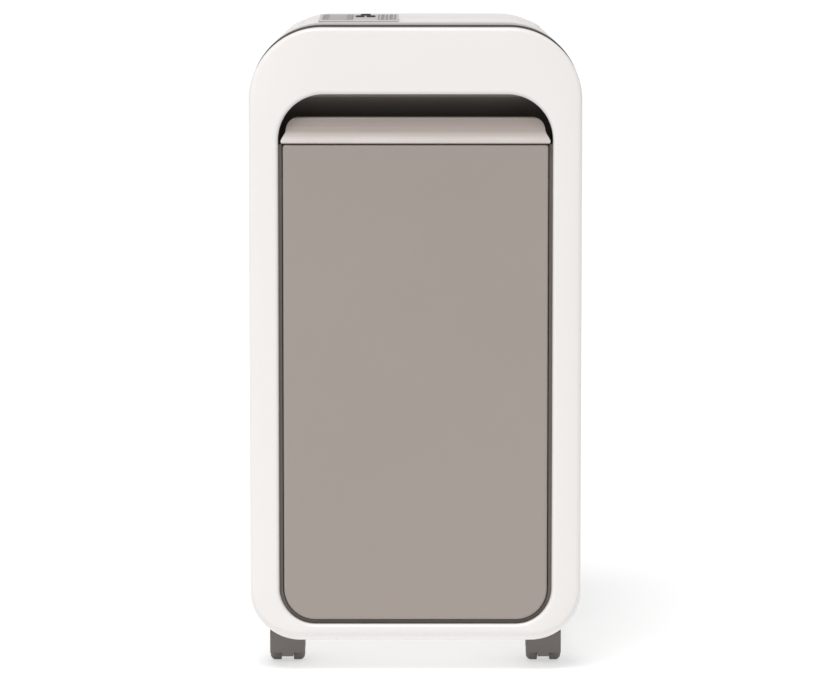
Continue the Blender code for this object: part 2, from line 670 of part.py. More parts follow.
# ---- Top fittings --------------------------------------------------------------------------------
def throat_guide():
    """The paper entry: a flange that follows the arched top, round a slot that narrows towards the cutters."""
    bottom = CUTTER_Z + DISC_R + 5 * MM
    above = DECK_Z + 10 * MM
    half_w, half_depth = THROAT_HALF_W + FLANGE_MARGIN, FLANGE_HALF_DEPTH
    shell = prism("throat_guide", [arch(-FLANGE_RISE) + arch(-FIT)[::-1]], "Y",
                  CUTTER_MID_Y - 2 * half_depth, CUTTER_MID_Y + 2 * half_depth, SHELL_WHITE)
    plan = rectangle(-half_w, half_w, CUTTER_MID_Y - half_depth, CUTTER_MID_Y + half_depth, 8 * MM)
    boolean(shell, prism("flange_plan", [plan], "Z", bottom, above), "INTERSECT")
    duct = prism("throat_duct",
                 [rectangle(-THROAT_HALF_W, THROAT_HALF_W, CUTTER_MID_Y - THROAT_HALF_DEPTH,
                            CUTTER_MID_Y + THROAT_HALF_DEPTH, 2 * MM, 2)],
                 "Z", bottom, above)
    boolean(duct, prism("duct_top", [arch(-1 * MM)], "Y", -DEPTH, DEPTH), "INTERSECT")
    join(shell, duct)
    mouth, narrow = SLOT_GAP / 2 + 5 * MM, SLOT_GAP / 2
    mouth_z, neck_z = DECK_Z + FLANGE_RISE + WALL, DECK_Z - 14 * MM
    slot = [(CUTTER_MID_Y - narrow, bottom - WALL), (CUTTER_MID_Y + narrow, bottom - WALL),
            (CUTTER_MID_Y + narrow, neck_z), (CUTTER_MID_Y + mouth, mouth_z),
            (CUTTER_MID_Y - mouth, mouth_z), (CUTTER_MID_Y - narrow, neck_z)]
    cut(shell, prism("slot_space", [slot], "X", -SLOT_HALF_W, SLOT_HALF_W))


def console_z(y):
    """Height of the console's sloping top."""
    share = (y - CONSOLE_LOW_Y) / (CONSOLE_HIGH_Y - CONSOLE_LOW_Y)
    return DECK_Z + CONSOLE_FRONT_RISE + share * (CONSOLE_REAR_RISE - CONSOLE_FRONT_RISE)


def lens_section(grow, below, above):
    low, high = LENS_LOW_Y - grow, LENS_HIGH_Y + grow
    return [(low, console_z(low) - below), (high, console_z(high) - below),
            (high, console_z(high) + above), (low, console_z(low) + above)]


def console():
    """The sloping control console, its display lens and its three push buttons."""
    edge = 1.2 * MM
    low_y, high_y = CONSOLE_LOW_Y, CONSOLE_HIGH_Y
    section = [(low_y, DECK_Z + FIT), (high_y, DECK_Z + FIT), (high_y, console_z(high_y) - edge),
               (high_y - edge, console_z(high_y)), (low_y + edge, console_z(low_y)),
               (low_y, console_z(low_y) - edge)]
    panel = prism("control_panel", [section], "X", CONSOLE_LOW_X, CONSOLE_HIGH_X, SHELL_WHITE)
    cut(panel, prism("lens_pocket", [lens_section(FIT, LENS_DEPTH + FIT, 5 * MM)], "X",
                     LENS_LOW_X - FIT, LENS_HIGH_X + FIT))
    prism("display_lens", [lens_section(0, LENS_DEPTH, 0.2 * MM)], "X", LENS_LOW_X, LENS_HIGH_X, SMOKED)
    for name, (x, y, radius) in BUTTONS.items():
        cut(panel, rod(f"{name}_hole", radius + BUTTON_GAP, "Z", (x, y, DECK_Z), -5 * MM, 15 * MM))
        top = console_z(y) + 1.5 * MM
        edge_r = 0.6 * MM
        foot = BOARD_Z + BOARD_THICKNESS + 2.9 * MM
        profile = [(0, top), (radius - edge_r, top), (radius, top - edge_r), (radius, DECK_Z),
                   (BUTTON_STEM_R, DECK_Z), (BUTTON_STEM_R, foot), (0, foot)]
        cap = turned(name, [(r, h - top) for r, h in profile], "Z", (x, y, top), 16, CASTER_PLASTIC)
        pivot(f"{name}_travel", (x, y, top), cap)


def control_board():
    """The circuit board under the console, with its relay, transformer and button switches."""
    inside = BOARD_Z + BOARD_THICKNESS / 2
    top = BOARD_Z + BOARD_THICKNESS
    low_x, low_y = CONSOLE_LOW_X + BOARD_MARGIN, CONSOLE_LOW_Y + BOARD_MARGIN
    board = prism("control_board",
                  [rectangle(low_x, CONSOLE_HIGH_X - BOARD_MARGIN, low_y, CONSOLE_HIGH_Y - BOARD_MARGIN)],
                  "Z", BOARD_Z, top, BOARD_GREEN)
    # Each hangs below the board: the corner nearest the board's own, then its width, depth and height.
    hanging = {"relay": (4, 5, 16, 20, 16), "transformer": (33, 8, 28, 24, 22)}
    for name, sizes in hanging.items():
        x, y, width, depth, height = [size * MM for size in sizes]
        join(board, block(f"board_{name}", (low_x + x, low_y + y, BOARD_Z - height),
                          (low_x + x + width, low_y + y + depth, inside)))
    switch_half, switch_height = 2.6 * MM, 1.2 * MM
    for name, (x, y, _) in BUTTONS.items():
        join(board, block(f"board_{name}", (x - switch_half, y - switch_half, inside),
                          (x + switch_half, y + switch_half, top + switch_height)))


# ---- Rear fittings -------------------------------------------------------------------------------
def power_switch():
    """The mains rocker switch on the back of the head."""
    wall = 1.5 * MM
    half_w, half_h = SWITCH_HALF_W - FIT, SWITCH_HALF_H - FIT
    body_front = BACK_FACE_Y - 21 * MM
    outline = rectangle(SWITCH_X - half_w, SWITCH_X + half_w, SWITCH_Z - half_h, SWITCH_Z + half_h)
    housing = prism("switch_housing", [outline], "Y", body_front, BACK_FACE_Y + 1 * MM, DARK_PLASTIC)
    lip = 2.5 * MM
    flange = rectangle(SWITCH_X - half_w - lip, SWITCH_X + half_w + lip,
                       SWITCH_Z - half_h - lip, SWITCH_Z + half_h + lip, 1.5 * MM, 2)
    join(housing, prism("switch_flange", [flange], "Y", BACK_FACE_Y + FIT, BACK_FACE_Y + 1.6 * MM))
    well = rectangle(SWITCH_X - half_w + wall, SWITCH_X + half_w - wall,
                     SWITCH_Z - half_h + wall, SWITCH_Z + half_h - wall)
    cut(housing, prism("switch_well", [well], "Y", body_front + 4 * MM, REAR_Y + WALL))
    gap = 0.7 * MM
    reach = half_h - wall - gap
    depth, tail_half, end_height, crown = 7 * MM, 4 * MM, 3.4 * MM, 5.6 * MM
    axis = (SWITCH_X, BACK_FACE_Y - end_height - 0.1 * MM, SWITCH_Z)
    section = [(-depth, -tail_half), (0, -reach), (end_height, -reach), (crown, 0), (end_height, reach),
               (0, reach), (-depth, tail_half)]
    across = half_w - wall - gap
    rocker = prism("power_rocker", [section], "X", -across, across, CASTER_PLASTIC)
    rocker.matrix_world = Matrix.Translation(axis) @ Matrix.Rotation(-ROCKER_TILT, 4, "X")
    pivot("power_rocker_axis", axis, rocker)


def cord_gland():
    """The flanged bush that the mains lead passes through."""
    seat = BACK_FACE_Y + FIT
    outline = circle((GLAND_X, GLAND_Z), GLAND_R, 20)
    hole = circle((GLAND_X, GLAND_Z), GLAND_BORE_R, 16)
    gland = prism("cord_gland", [outline, hole], "Y", BACK_FACE_Y - 11 * MM, seat + 1 * MM, DARK_PLASTIC)
    flange = prism("gland_flange", [circle((GLAND_X, GLAND_Z), GLAND_FLANGE_R), hole], "Y", seat, REAR_Y)
    join(gland, flange)


# ---- Bin -----------------------------------------------------------------------------------------
def waste_bin():
    """The pull-out bin: a tub on two glides, a front panel and a finger lip along the panel's top."""
    panel_half = OPENING_HALF_W - BIN_GAP
    low, radius = OPENING_LOW + BIN_GAP, OPENING_R_BOTTOM - BIN_GAP
    outline = (arc((panel_half - radius, low + radius), radius, -90, 0, 8)
               + [(panel_half, PANEL_TOP), (-panel_half, PANEL_TOP)]
               + arc((-panel_half + radius, low + radius), radius, 180, 270, 8))
    panel = dish("bin_front_panel", outline, "Y", -PANEL_Y, -(PANEL_Y + PANEL_DEPTH), PANEL_WALL,
                 2 * MM, BIN_TAUPE)
    corner_r = 14 * MM
    plan = rectangle(-TUB_HALF_W, TUB_HALF_W, TUB_FRONT_Y, TUB_REAR_Y, corner_r)
    tub = dish("bin_tub", plan, "Z", TUB_FLOOR, TUB_TOP, TUB_WALL, 6 * MM, CASTER_PLASTIC, segments=2)
    inside = 1 * MM
    ring = [rectangle(-TUB_HALF_W - TUB_RIM, TUB_HALF_W + TUB_RIM, TUB_FRONT_Y, TUB_REAR_Y + TUB_RIM,
                      corner_r + 2 * MM),
            rectangle(-TUB_HALF_W + inside, TUB_HALF_W - inside, TUB_FRONT_Y + inside, TUB_REAR_Y - inside,
                      corner_r - inside)]
    join(tub, prism("tub_rim", ring, "Z", TUB_TOP - 4 * MM, TUB_TOP + 1 * MM))
    pivot("bin_slide_origin", (0, FRONT_Y, TUB_FLOOR), panel, tub, bin_lip())


def bin_lip():
    """The sloping lip, cut from a moulded section to the bin front's rounded top."""
    foot = PANEL_TOP + 1 * MM
    nose = FRONT_Y + 0.3 * MM
    back = nose + 18.5 * MM
    section = [(nose + 3 * MM, foot), (nose, foot + 1 * MM), (nose + 0.6 * MM, foot + 2.6 * MM),
               (nose + 4.4 * MM, foot + 6 * MM), (nose + 8 * MM, foot + 12 * MM),
               (nose + 10.4 * MM, foot + 19.5 * MM), (nose + 11.4 * MM, LIP_TOP - 2.5 * MM),
               (nose + 13 * MM, LIP_TOP), (back - 1.5 * MM, LIP_TOP), (back, LIP_TOP - 1.5 * MM),
               (back, foot)]
    lip = prism("bin_handle_lip", [section], "X", -HALF_W, HALF_W, BIN_TAUPE)
    wide = OPENING_HALF_W - BIN_GAP + 2 * MM
    narrow = wide - 5 * MM
    corner = 12 * MM
    half = [(wide - 1 * MM, foot - 1 * MM), (wide, foot + 3 * MM), (narrow + 0.5 * MM, foot + 10 * MM)]
    half += arc((narrow - corner, LIP_TOP - corner), corner, 0, 90, 6)[:-1]
    half += [(narrow - corner, LIP_TOP + 1 * MM)]
    outline = half + [(-x, z) for x, z in half[::-1]]
    boolean(lip, prism("lip_bounds", [outline], "Y", FRONT_Y - 5 * MM, FRONT_Y + 30 * MM), "INTERSECT")
    tongue_drop, tongue_root = 24 * MM, 5 * MM
    join(lip, block("lip_tongue", (-TUB_HALF_W, TUB_FRONT_Y, foot - tongue_drop),
                    (TUB_HALF_W, back, foot + tongue_root)))
    return lip


def bin_rails():
    for side, name in ((-1, "bin_rail_left"), (1, "bin_rail_right")):
        edges = sorted((side * (RAIL_HIGH_X - RAIL_WIDTH), side * RAIL_HIGH_X))
        block(name, (edges[0], BODY_FRONT_Y + 6 * MM, BODY_BOTTOM + WALL + FIT),
              (edges[1], BODY_REAR_Y - 12 * MM, TUB_FLOOR - FIT), NYLON)


# ---- Cutting head --------------------------------------------------------------------------------

def involute(value):
    return tan(value) - value


def gear_outline(teeth, module, phase, backlash=0.16 * MM, pressure=radians(25)):
    """Involute teeth as one loop. phase turns the middle of the first tooth from the across direction."""
    pitch_r = module * teeth / 2
    base_r = pitch_r * cos(pressure)
    tip_r = pitch_r + 0.9 * module
    root_r = pitch_r - 1.25 * module
    half_tooth = (pi * module / 2 - backlash) / 2 / pitch_r + involute(pressure)
    low_r = max(base_r, root_r)
    flank = 1 if teeth > 30 else 2  # a large gear's flanks are nearly straight
    points = []
    for tooth in range(teeth):
        middle = phase + 2 * pi * tooth / teeth
        radii = [low_r + (tip_r - low_r) * k / flank for k in range(flank + 1)]
        spans = [half_tooth - involute(acos(min(1.0, base_r / r))) for r in radii]
        if low_r > root_r:
            radii, spans = [root_r] + radii, [spans[0]] + spans
        points += [(r * cos(middle - a), r * sin(middle - a)) for r, a in zip(radii, spans)]
        points += [(r * cos(middle + a), r * sin(middle + a)) for r, a in zip(radii[::-1], spans[::-1])]
    return points


def gear(name, teeth, module, centre, low, high, bore, phase, finish=None):
    """A spur gear on an axis along X through centre (y, z)."""
    loops = [gear_outline(teeth, module, phase)]
    if bore:
        loops.append(circle((0, 0), bore, 16))
    shifted = [[(a + centre[0], b + centre[1]) for a, b in loop] for loop in loops]
    return prism(name, shifted, "X", low, high, finish, (0, centre[0], centre[1]))


def mating_phase(heading, driver_teeth, driver_phase, teeth):
    """The phase that puts a gap of a gear on the tooth of its driver, which lies in the opposite heading."""
    driver_pitch = 2 * pi / driver_teeth
    lead = (heading - driver_phase) / driver_pitch
    return heading + pi + pi / teeth + (lead - round(lead)) * 2 * pi / teeth


def side_plates():
    """Steel plates that carry both cutter shafts, and on the right the idler and the motor."""
    low_z, high_z = SHELF_Z + SHELF_THICKNESS + FIT, CUTTER_Z + 45 * MM
    half_depth = 52 * MM
    low_y = CUTTER_MID_Y - half_depth
    seat = BEARING_R + BORE_GAP
    for side, name, high_y in ((-1, "side_plate_left", CUTTER_MID_Y + half_depth),
                               (1, "side_plate_right", MOTOR_Y + MOTOR_R + 7 * MM)):
        outline = rectangle(low_y, high_y, low_z, high_z, 8 * MM, 2)
        holes = [circle((y, CUTTER_Z), seat, 16) for y in (FRONT_SHAFT_Y, REAR_SHAFT_Y)]
        holes += [circle((y, TIE_ROD_Z), TIE_ROD_R + BORE_GAP, 12) for y in TIE_RODS.values()]
        if side > 0:
            holes.append(circle((IDLER_Y, IDLER_Z), IDLER_PIN_R + FIT, 16))
            holes.append(circle((MOTOR_Y, MOTOR_Z), MOTOR_SHAFT_R + 3 * MM, 16))
        low, high = sorted((side * PLATE_IN, side * PLATE_OUT))
        prism(name, [outline] + holes, "X", low, high, ZINC)
    for name, y in TIE_RODS.items():
        rod(name, TIE_ROD_R, "X", (0, y, TIE_ROD_Z), -PLATE_OUT - 1 * MM, PLATE_OUT + 1 * MM, STEEL, 12)
    for place, y in (("front", FRONT_SHAFT_Y), ("rear", REAR_SHAFT_Y)):
        for side, end in ((-1, "left"), (1, "right")):
            inner, outer = sorted((side * (PLATE_IN + 0.2 * MM), side * (PLATE_OUT + 1.4 * MM)))
            bore = JOURNAL_R + BORE_GAP
            ring = [(BEARING_R, outer), (BEARING_R, inner), (bore, inner), (bore, outer)]
            turned(f"bearing_{place}_{end}", ring, "X", (0, y, CUTTER_Z), 16, STEEL, closed=True)


def cutter_shaft(name, y, offset, left_end, right_end):
    """A shaft turned in one piece with its row of cutting discs."""
    profile = [(0, right_end), (JOURNAL_R, right_end), (JOURNAL_R, PLATE_IN - 3 * MM),
               (CORE_R, PLATE_IN - 3 * MM)]
    first = (DISC_COUNT - 1) / 2 * DISC_PITCH + offset
    for k in range(DISC_COUNT):
        middle = first - k * DISC_PITCH
        profile += [(CORE_R, middle + DISC_WIDTH / 2), (DISC_R, middle + DISC_WIDTH / 2),
                    (DISC_R, middle - DISC_WIDTH / 2), (CORE_R, middle - DISC_WIDTH / 2)]
    profile += [(CORE_R, -PLATE_IN + 3 * MM), (JOURNAL_R, -PLATE_IN + 3 * MM), (JOURNAL_R, left_end),
                (0, left_end)]
    return turned(name, profile, "X", (0, y, CUTTER_Z), 12, STEEL)


def strippers():
    """Combs that reach between the discs and clear the shreds from both shafts."""
    clear = 0.8 * MM
    half = PLATE_IN - FIT
    for name, y, side, offset in (("stripper_front", FRONT_SHAFT_Y, -1, -DISC_PITCH / 4),
                                  ("stripper_rear", REAR_SHAFT_Y, 1, DISC_PITCH / 4)):
        back = y + side * (DISC_R + 12 * MM)
        spine = y + side * (DISC_R + clear)
        tip = y + side * (CORE_R + clear)
        finger = (DISC_PITCH - DISC_WIDTH) / 2 - clear
        comb = [(-half, back), (-half, spine)]
        for k in range(DISC_COUNT - 1):
            middle = (k + 1 - DISC_COUNT / 2) * DISC_PITCH + offset
            comb += [(middle - finger, spine), (middle - finger, tip),
                     (middle + finger, tip), (middle + finger, spine)]
        comb += [(half, spine), (half, back)]
        prism(name, [comb], "Z", CUTTER_Z - 3 * MM, CUTTER_Z + 3 * MM, ZINC)


def drive_train():
    """Cutter shafts, timing gears, final gear, idler and motor: one coupled train."""
    front = cutter_shaft("cutter_shaft_front", FRONT_SHAFT_Y, -DISC_PITCH / 4,
                         -TRAIN_IN - GEAR_WIDTH - 1 * MM, PLATE_OUT + 0.5 * MM)
    rear = cutter_shaft("cutter_shaft_rear", REAR_SHAFT_Y, DISC_PITCH / 4,
                        -TRAIN_IN - GEAR_WIDTH - 1 * MM, TRAIN_IN + GEAR_WIDTH + 1 * MM)
    bore = JOURNAL_R + BORE_GAP
    half_pitch = pi / SYNC_TEETH
    sync = (-TRAIN_IN - GEAR_WIDTH, -TRAIN_IN)
    sync_front = gear("sync_gear_front", SYNC_TEETH, GEAR_MODULE, (FRONT_SHAFT_Y, CUTTER_Z), *sync,
                      bore, 0.0, STEEL)
    sync_rear = gear("sync_gear_rear", SYNC_TEETH, GEAR_MODULE, (REAR_SHAFT_Y, CUTTER_Z), *sync,
                     bore, half_pitch, STEEL)
    final = gear("final_gear", FINAL_TEETH, GEAR_MODULE, (REAR_SHAFT_Y, CUTTER_Z), TRAIN_IN,
                 TRAIN_IN + GEAR_WIDTH, bore, 0.0, STEEL)
    idler_phase = mating_phase(IDLER_ANGLE, FINAL_TEETH, 0.0, IDLER_SMALL_TEETH)
    idler = gear("idler_gear", IDLER_SMALL_TEETH, GEAR_MODULE, (IDLER_Y, IDLER_Z), TRAIN_IN,
                 FINE_IN + 1 * MM, 0, idler_phase, STEEL)
    big = gear("idler_big", IDLER_BIG_TEETH, FINE_MODULE, (IDLER_Y, IDLER_Z), FINE_IN,
               FINE_IN + FINE_WIDTH, 0, 0.0)
    join(idler, big)
    cut(idler, rod("idler_bore", IDLER_PIN_R + BORE_GAP, "X", (0, IDLER_Y, IDLER_Z), PLATE_IN,
                   FINE_IN + 2 * FINE_WIDTH, steps=16))
    rod("idler_pin", IDLER_PIN_R, "X", (0, IDLER_Y, IDLER_Z), PLATE_IN + 0.2 * MM,
        FINE_IN + FINE_WIDTH + 2 * MM, STEEL, 16)
    pinion_phase = mating_phase(PINION_ANGLE, IDLER_BIG_TEETH, 0.0, PINION_TEETH)
    rotor = gear("motor_rotor", PINION_TEETH, FINE_MODULE, (MOTOR_Y, MOTOR_Z), FINE_IN,
                 FINE_IN + FINE_WIDTH, 0, pinion_phase, STEEL)
    tail = PLATE_IN - MOTOR_LENGTH - 10 * MM
    join(rotor, rod("rotor_shaft", MOTOR_SHAFT_R, "X", (0, MOTOR_Y, MOTOR_Z), tail,
                    FINE_IN + FINE_WIDTH + 1 * MM, steps=16))
    bore = MOTOR_SHAFT_R + BORE_GAP
    face = PLATE_IN - FIT
    nose, shoulder = face - MOTOR_NOSE, face - MOTOR_LENGTH + MOTOR_TAIL
    body = [(bore, face), (MOTOR_R - 8 * MM, face), (MOTOR_R - 4 * MM, nose),
            (MOTOR_R, nose), (MOTOR_R, shoulder), (MOTOR_R - 5 * MM, shoulder),
            (MOTOR_R - 8 * MM, face - MOTOR_LENGTH), (bore, face - MOTOR_LENGTH)]
    turned("motor_body", body, "X", (0, MOTOR_Y, MOTOR_Z), 20, DARK_PLASTIC, closed=True)
    pivot("cutter_front_axis", (0, FRONT_SHAFT_Y, CUTTER_Z), front, sync_front)
    pivot("cutter_rear_axis", (0, REAR_SHAFT_Y, CUTTER_Z), rear, sync_rear, final)
    pivot("idler_axis", (0, IDLER_Y, IDLER_Z), idler)
    pivot("motor_axis", (0, MOTOR_Y, MOTOR_Z), rotor)


# ---- Casters -------------------------------------------------------------------------------------
def hood_section():
    """Side view of a caster's hood about its stem: a front wall, a flat top and a fender over the wheels."""
    fender_r = HOOD_TOP - AXLE_Z
    front = TRAIL - WHEEL_R - HOOD_GAP - HOOD_FRONT_WALL
    # The lower edge rises towards the back, at these heights below the axle.
    foot, middle, tail = 0.545 * fender_r, 0.44 * fender_r, 0.36 * fender_r
    spread = 9 * MM
    fender = arc((TRAIL, AXLE_Z), fender_r, -20, 90, 8)
    return fender + [(front + 4 * MM, HOOD_TOP), (front + 0.8 * MM, HOOD_TOP - 2 * MM),
                     (front, HOOD_TOP - 6 * MM), (front + 0.8 * MM, AXLE_Z - middle),
                     (front + 2.5 * MM, AXLE_Z - foot), (TRAIL - spread, AXLE_Z - foot),
                     (TRAIL, AXLE_Z - middle), (TRAIL + spread, AXLE_Z - tail)]


def casters():
    """Four twin-wheel casters: a hood with its stem, and two wheels on one axle."""
    hood_half = WEB_HALF + FIT + WHEEL_WIDTH
    for place, (x, y) in CASTER_PLACES.items():
        stem_at = (x, y, 0)
        axle_at = (x, y + TRAIL, AXLE_Z)
        section = [(a + y, b) for a, b in hood_section()]
        hood = prism(f"caster_hood_{place}", [section], "X", x - hood_half, x + hood_half,
                     CASTER_PLASTIC, stem_at)
        round_edges(hood, 2 * MM, 1, 60)
        pocket = WHEEL_R + HOOD_GAP
        cut(hood,
            rod(f"pocket_left_{place}", pocket, "X", axle_at, -2 * hood_half, -WEB_HALF, steps=16),
            rod(f"pocket_right_{place}", pocket, "X", axle_at, WEB_HALF, 2 * hood_half, steps=16),
            rod(f"axle_hole_{place}", AXLE_R + BORE_GAP, "X", axle_at, -2 * WEB_HALF, 2 * WEB_HALF, steps=12))
        stem = [(0, SOCKET_TOP - 4 * MM), (STEM_R - 1 * MM, SOCKET_TOP - 4 * MM),
                (STEM_R, SOCKET_TOP - 5 * MM), (STEM_R, SOCKET_BOTTOM - 0.6 * MM),
                (STEM_COLLAR_R, SOCKET_BOTTOM - 0.6 * MM), (STEM_COLLAR_R, HOOD_TOP - 1.5 * MM),
                (0, HOOD_TOP - 1.5 * MM)]
        join(hood, turned(f"stem_{place}", stem, "Z", stem_at, 12))
        pivot(f"caster_swivel_{place}", stem_at, hood)
        axle = rod(f"caster_axle_{place}", AXLE_R, "X", axle_at, -hood_half + 2 * MM, hood_half - 2 * MM,
                   STEEL, 12)
        wheels = [caster_wheel(f"wheel_{end}_{place}", axle_at, side)
                  for side, end in ((-1, "left"), (1, "right"))]
        pivot(f"caster_roll_{place}", axle_at, axle, *wheels)


def caster_wheel(name, axle_at, side):
    bore = AXLE_R + BORE_GAP
    inner = WEB_HALF + FIT
    outer = inner + WHEEL_WIDTH
    section = [(9 * MM, outer - 1 * MM), (10 * MM, outer), (14 * MM, outer - 1 * MM),
               (WHEEL_R, outer - 4 * MM), (WHEEL_R, inner), (bore, inner), (bore, outer - 1 * MM)]
    if side < 0:
        section = [(r, -h) for r, h in section[::-1]]
    return turned(name, section, "X", axle_at, WHEEL_SIDES, CASTER_PLASTIC, closed=True,
                  phase=pi / WHEEL_SIDES)


front_bezel()
front_frame()
top_cover()
base_tray()
cabinet_sides()
back_covers()
head_shelf()
finger_recess()
throat_guide()
console()
control_board()
power_switch()
cord_gland()
waste_bin()
bin_rails()
side_plates()
strippers()
drive_train()
casters()
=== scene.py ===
"""Deskside paper shredder: the finished look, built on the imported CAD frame.

Frame: +Z up, front faces -Y, origin on the floor under the middle. Sizes are millimetres times MM.
"""

import json
from math import cos, hypot, radians, sin

import bmesh
import bpy
from mathutils import Matrix, Vector


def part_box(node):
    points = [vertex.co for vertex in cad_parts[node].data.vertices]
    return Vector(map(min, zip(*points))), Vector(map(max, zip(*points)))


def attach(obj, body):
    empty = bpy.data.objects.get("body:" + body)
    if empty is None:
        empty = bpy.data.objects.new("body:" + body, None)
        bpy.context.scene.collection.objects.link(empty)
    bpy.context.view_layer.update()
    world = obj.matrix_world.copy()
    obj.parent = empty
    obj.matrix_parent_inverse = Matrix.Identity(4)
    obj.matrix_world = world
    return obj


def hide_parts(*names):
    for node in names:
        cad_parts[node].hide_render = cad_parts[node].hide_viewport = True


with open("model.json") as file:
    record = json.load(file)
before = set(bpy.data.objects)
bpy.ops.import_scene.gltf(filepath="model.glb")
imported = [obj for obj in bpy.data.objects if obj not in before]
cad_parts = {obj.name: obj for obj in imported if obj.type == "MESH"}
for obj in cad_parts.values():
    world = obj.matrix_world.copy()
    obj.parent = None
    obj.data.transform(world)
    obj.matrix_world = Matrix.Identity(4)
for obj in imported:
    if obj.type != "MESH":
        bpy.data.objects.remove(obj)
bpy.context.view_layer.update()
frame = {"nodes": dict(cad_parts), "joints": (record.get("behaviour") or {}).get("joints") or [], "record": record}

MM = 0.001

# ---- Sizes, from the frame where a node gives them -----------------------------------------------
BEZEL_LOW, BEZEL_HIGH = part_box("front_bezel")
FRAME_LOW, FRAME_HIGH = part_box("front_frame")
COVER_LOW, COVER_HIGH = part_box("top_cover")
TRAY_LOW, TRAY_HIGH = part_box("base_tray")
BACK_LOW, BACK_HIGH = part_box("cabinet_back")
HEAD_LOW, HEAD_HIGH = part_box("head_back_cover")
PANEL_LOW, PANEL_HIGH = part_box("bin_front_panel")
LIP_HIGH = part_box("bin_handle_lip")[1]
TUB_LOW, TUB_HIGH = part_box("bin_tub")
CONSOLE_LOW, CONSOLE_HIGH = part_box("control_panel")
LENS_LOW, LENS_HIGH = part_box("display_lens")
THROAT_LOW, THROAT_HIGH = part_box("throat_guide")
SWITCH_LOW, SWITCH_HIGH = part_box("switch_housing")
GLAND_LOW, GLAND_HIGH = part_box("cord_gland")
RECESS_LOW, RECESS_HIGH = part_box("finger_recess")

HALF_W = BEZEL_HIGH.x
FRONT_Y = BEZEL_LOW.y
REAR_Y = GLAND_HIGH.y
DECK_Z = COVER_HIGH.z
WALL = 3 * MM
BEZEL_R_TOP = 72 * MM
BEZEL_R_BOTTOM = 50 * MM
BODY_R_TOP = 76 * MM
BODY_R_BOTTOM = 50 * MM
OPENING_HALF_W = HALF_W - 29.2 * MM
OPENING_LOW = BEZEL_LOW.z + 17.5 * MM
OPENING_HIGH = BEZEL_HIGH.z - 65.5 * MM
OPENING_R_TOP = 45 * MM
OPENING_R_BOTTOM = 36 * MM
CORNER_STEPS = 24
BIN_GAP = 4.5 * MM
BACK_FACE_Y = HEAD_HIGH.y
CONSOLE_FRONT_RISE = 1.4 * MM
CONSOLE_REAR_RISE = CONSOLE_HIGH.z - DECK_Z
MIDDLE_Y = (THROAT_LOW.y + THROAT_HIGH.y) / 2
# How far a cutter runs past what it cuts.
PAST = 5 * MM
BUTTONS = ("power_button", "reverse_button", "forward_button")
PLACES = ("front_left", "front_right", "rear_left", "rear_right")

ROTATIONS = {
    # How an outline's (across, up, out) directions lie in the machine's frame.
    "X": Matrix(((0, 0, 1), (1, 0, 0), (0, 1, 0))).to_4x4(),
    "Y": Matrix(((1, 0, 0), (0, 0, -1), (0, 1, 0))).to_4x4(),
    "Z": Matrix.Identity(4),
}


# ---- Materials -----------------------------------------------------------------------------------
def shader_of(name, roughness=0.4, metallic=0.0, coat=0.0, specular=0.5):
    """A new material: returns it with its nodes, links and Principled shader."""
    made = bpy.data.materials.new(name)
    made.use_nodes = True
    nodes, links = made.node_tree.nodes, made.node_tree.links
    shader = nodes["Principled BSDF"]
    shader.inputs["Roughness"].default_value = roughness
    shader.inputs["Metallic"].default_value = metallic
    shader.inputs["Coat Weight"].default_value = coat
    shader.inputs["Coat Roughness"].default_value = 0.12
    shader.inputs["Specular IOR Level"].default_value = specular
    return made, nodes, links, shader


def noise(nodes, links, scale, detail=3.0, stretch=(1, 1, 1)):
    """A noise texture on the object's own coordinates, in features per metre."""
    place = nodes.new("ShaderNodeTexCoord")
    mapping = nodes.new("ShaderNodeMapping")
    mapping.inputs["Scale"].default_value = stretch
    texture = nodes.new("ShaderNodeTexNoise")
    texture.inputs["Scale"].default_value = scale
    texture.inputs["Detail"].default_value = detail
    links.new(place.outputs["Object"], mapping.inputs["Vector"])
    links.new(mapping.outputs["Vector"], texture.inputs["Vector"])
    return texture.outputs["Fac"]


def ramp(nodes, links, value, low, high, start=0.15, end=0.85):
    """Colours or values from low to high as value goes from start to end."""
    made = nodes.new("ShaderNodeValToRGB")
    made.color_ramp.elements[0].position = start
    made.color_ramp.elements[1].position = end
    made.color_ramp.elements[0].color = (*low, 1)
    made.color_ramp.elements[1].color = (*high, 1)
    links.new(value, made.inputs["Fac"])
    return made.outputs["Color"]


def roughness_range(nodes, links, value, low, high, shader):
    """Drives the shader's roughness from low to high as value goes from 0.1 to 0.9."""
    made = nodes.new("ShaderNodeMapRange")
    made.inputs["From Min"].default_value = 0.1
    made.inputs["From Max"].default_value = 0.9
    made.inputs["To Min"].default_value = low
    made.inputs["To Max"].default_value = high
    links.new(value, made.inputs["Value"])
    links.new(made.outputs["Result"], shader.inputs["Roughness"])


def bump(nodes, links, shader, heights):
    """Adds up heights, (value, depth in metres) pairs, into the shader's normal."""
    normal = None
    for value, depth in heights:
        made = nodes.new("ShaderNodeBump")
        made.inputs["Strength"].default_value = 1.0
        made.inputs["Distance"].default_value = depth
        links.new(value, made.inputs["Height"])
        if normal:
            links.new(normal, made.inputs["Normal"])
        normal = made.outputs["Normal"]
    links.new(normal, shader.inputs["Normal"])


def shade(colour, factor):
    """A colour made darker or lighter by a factor."""
    return tuple(c * factor for c in colour)


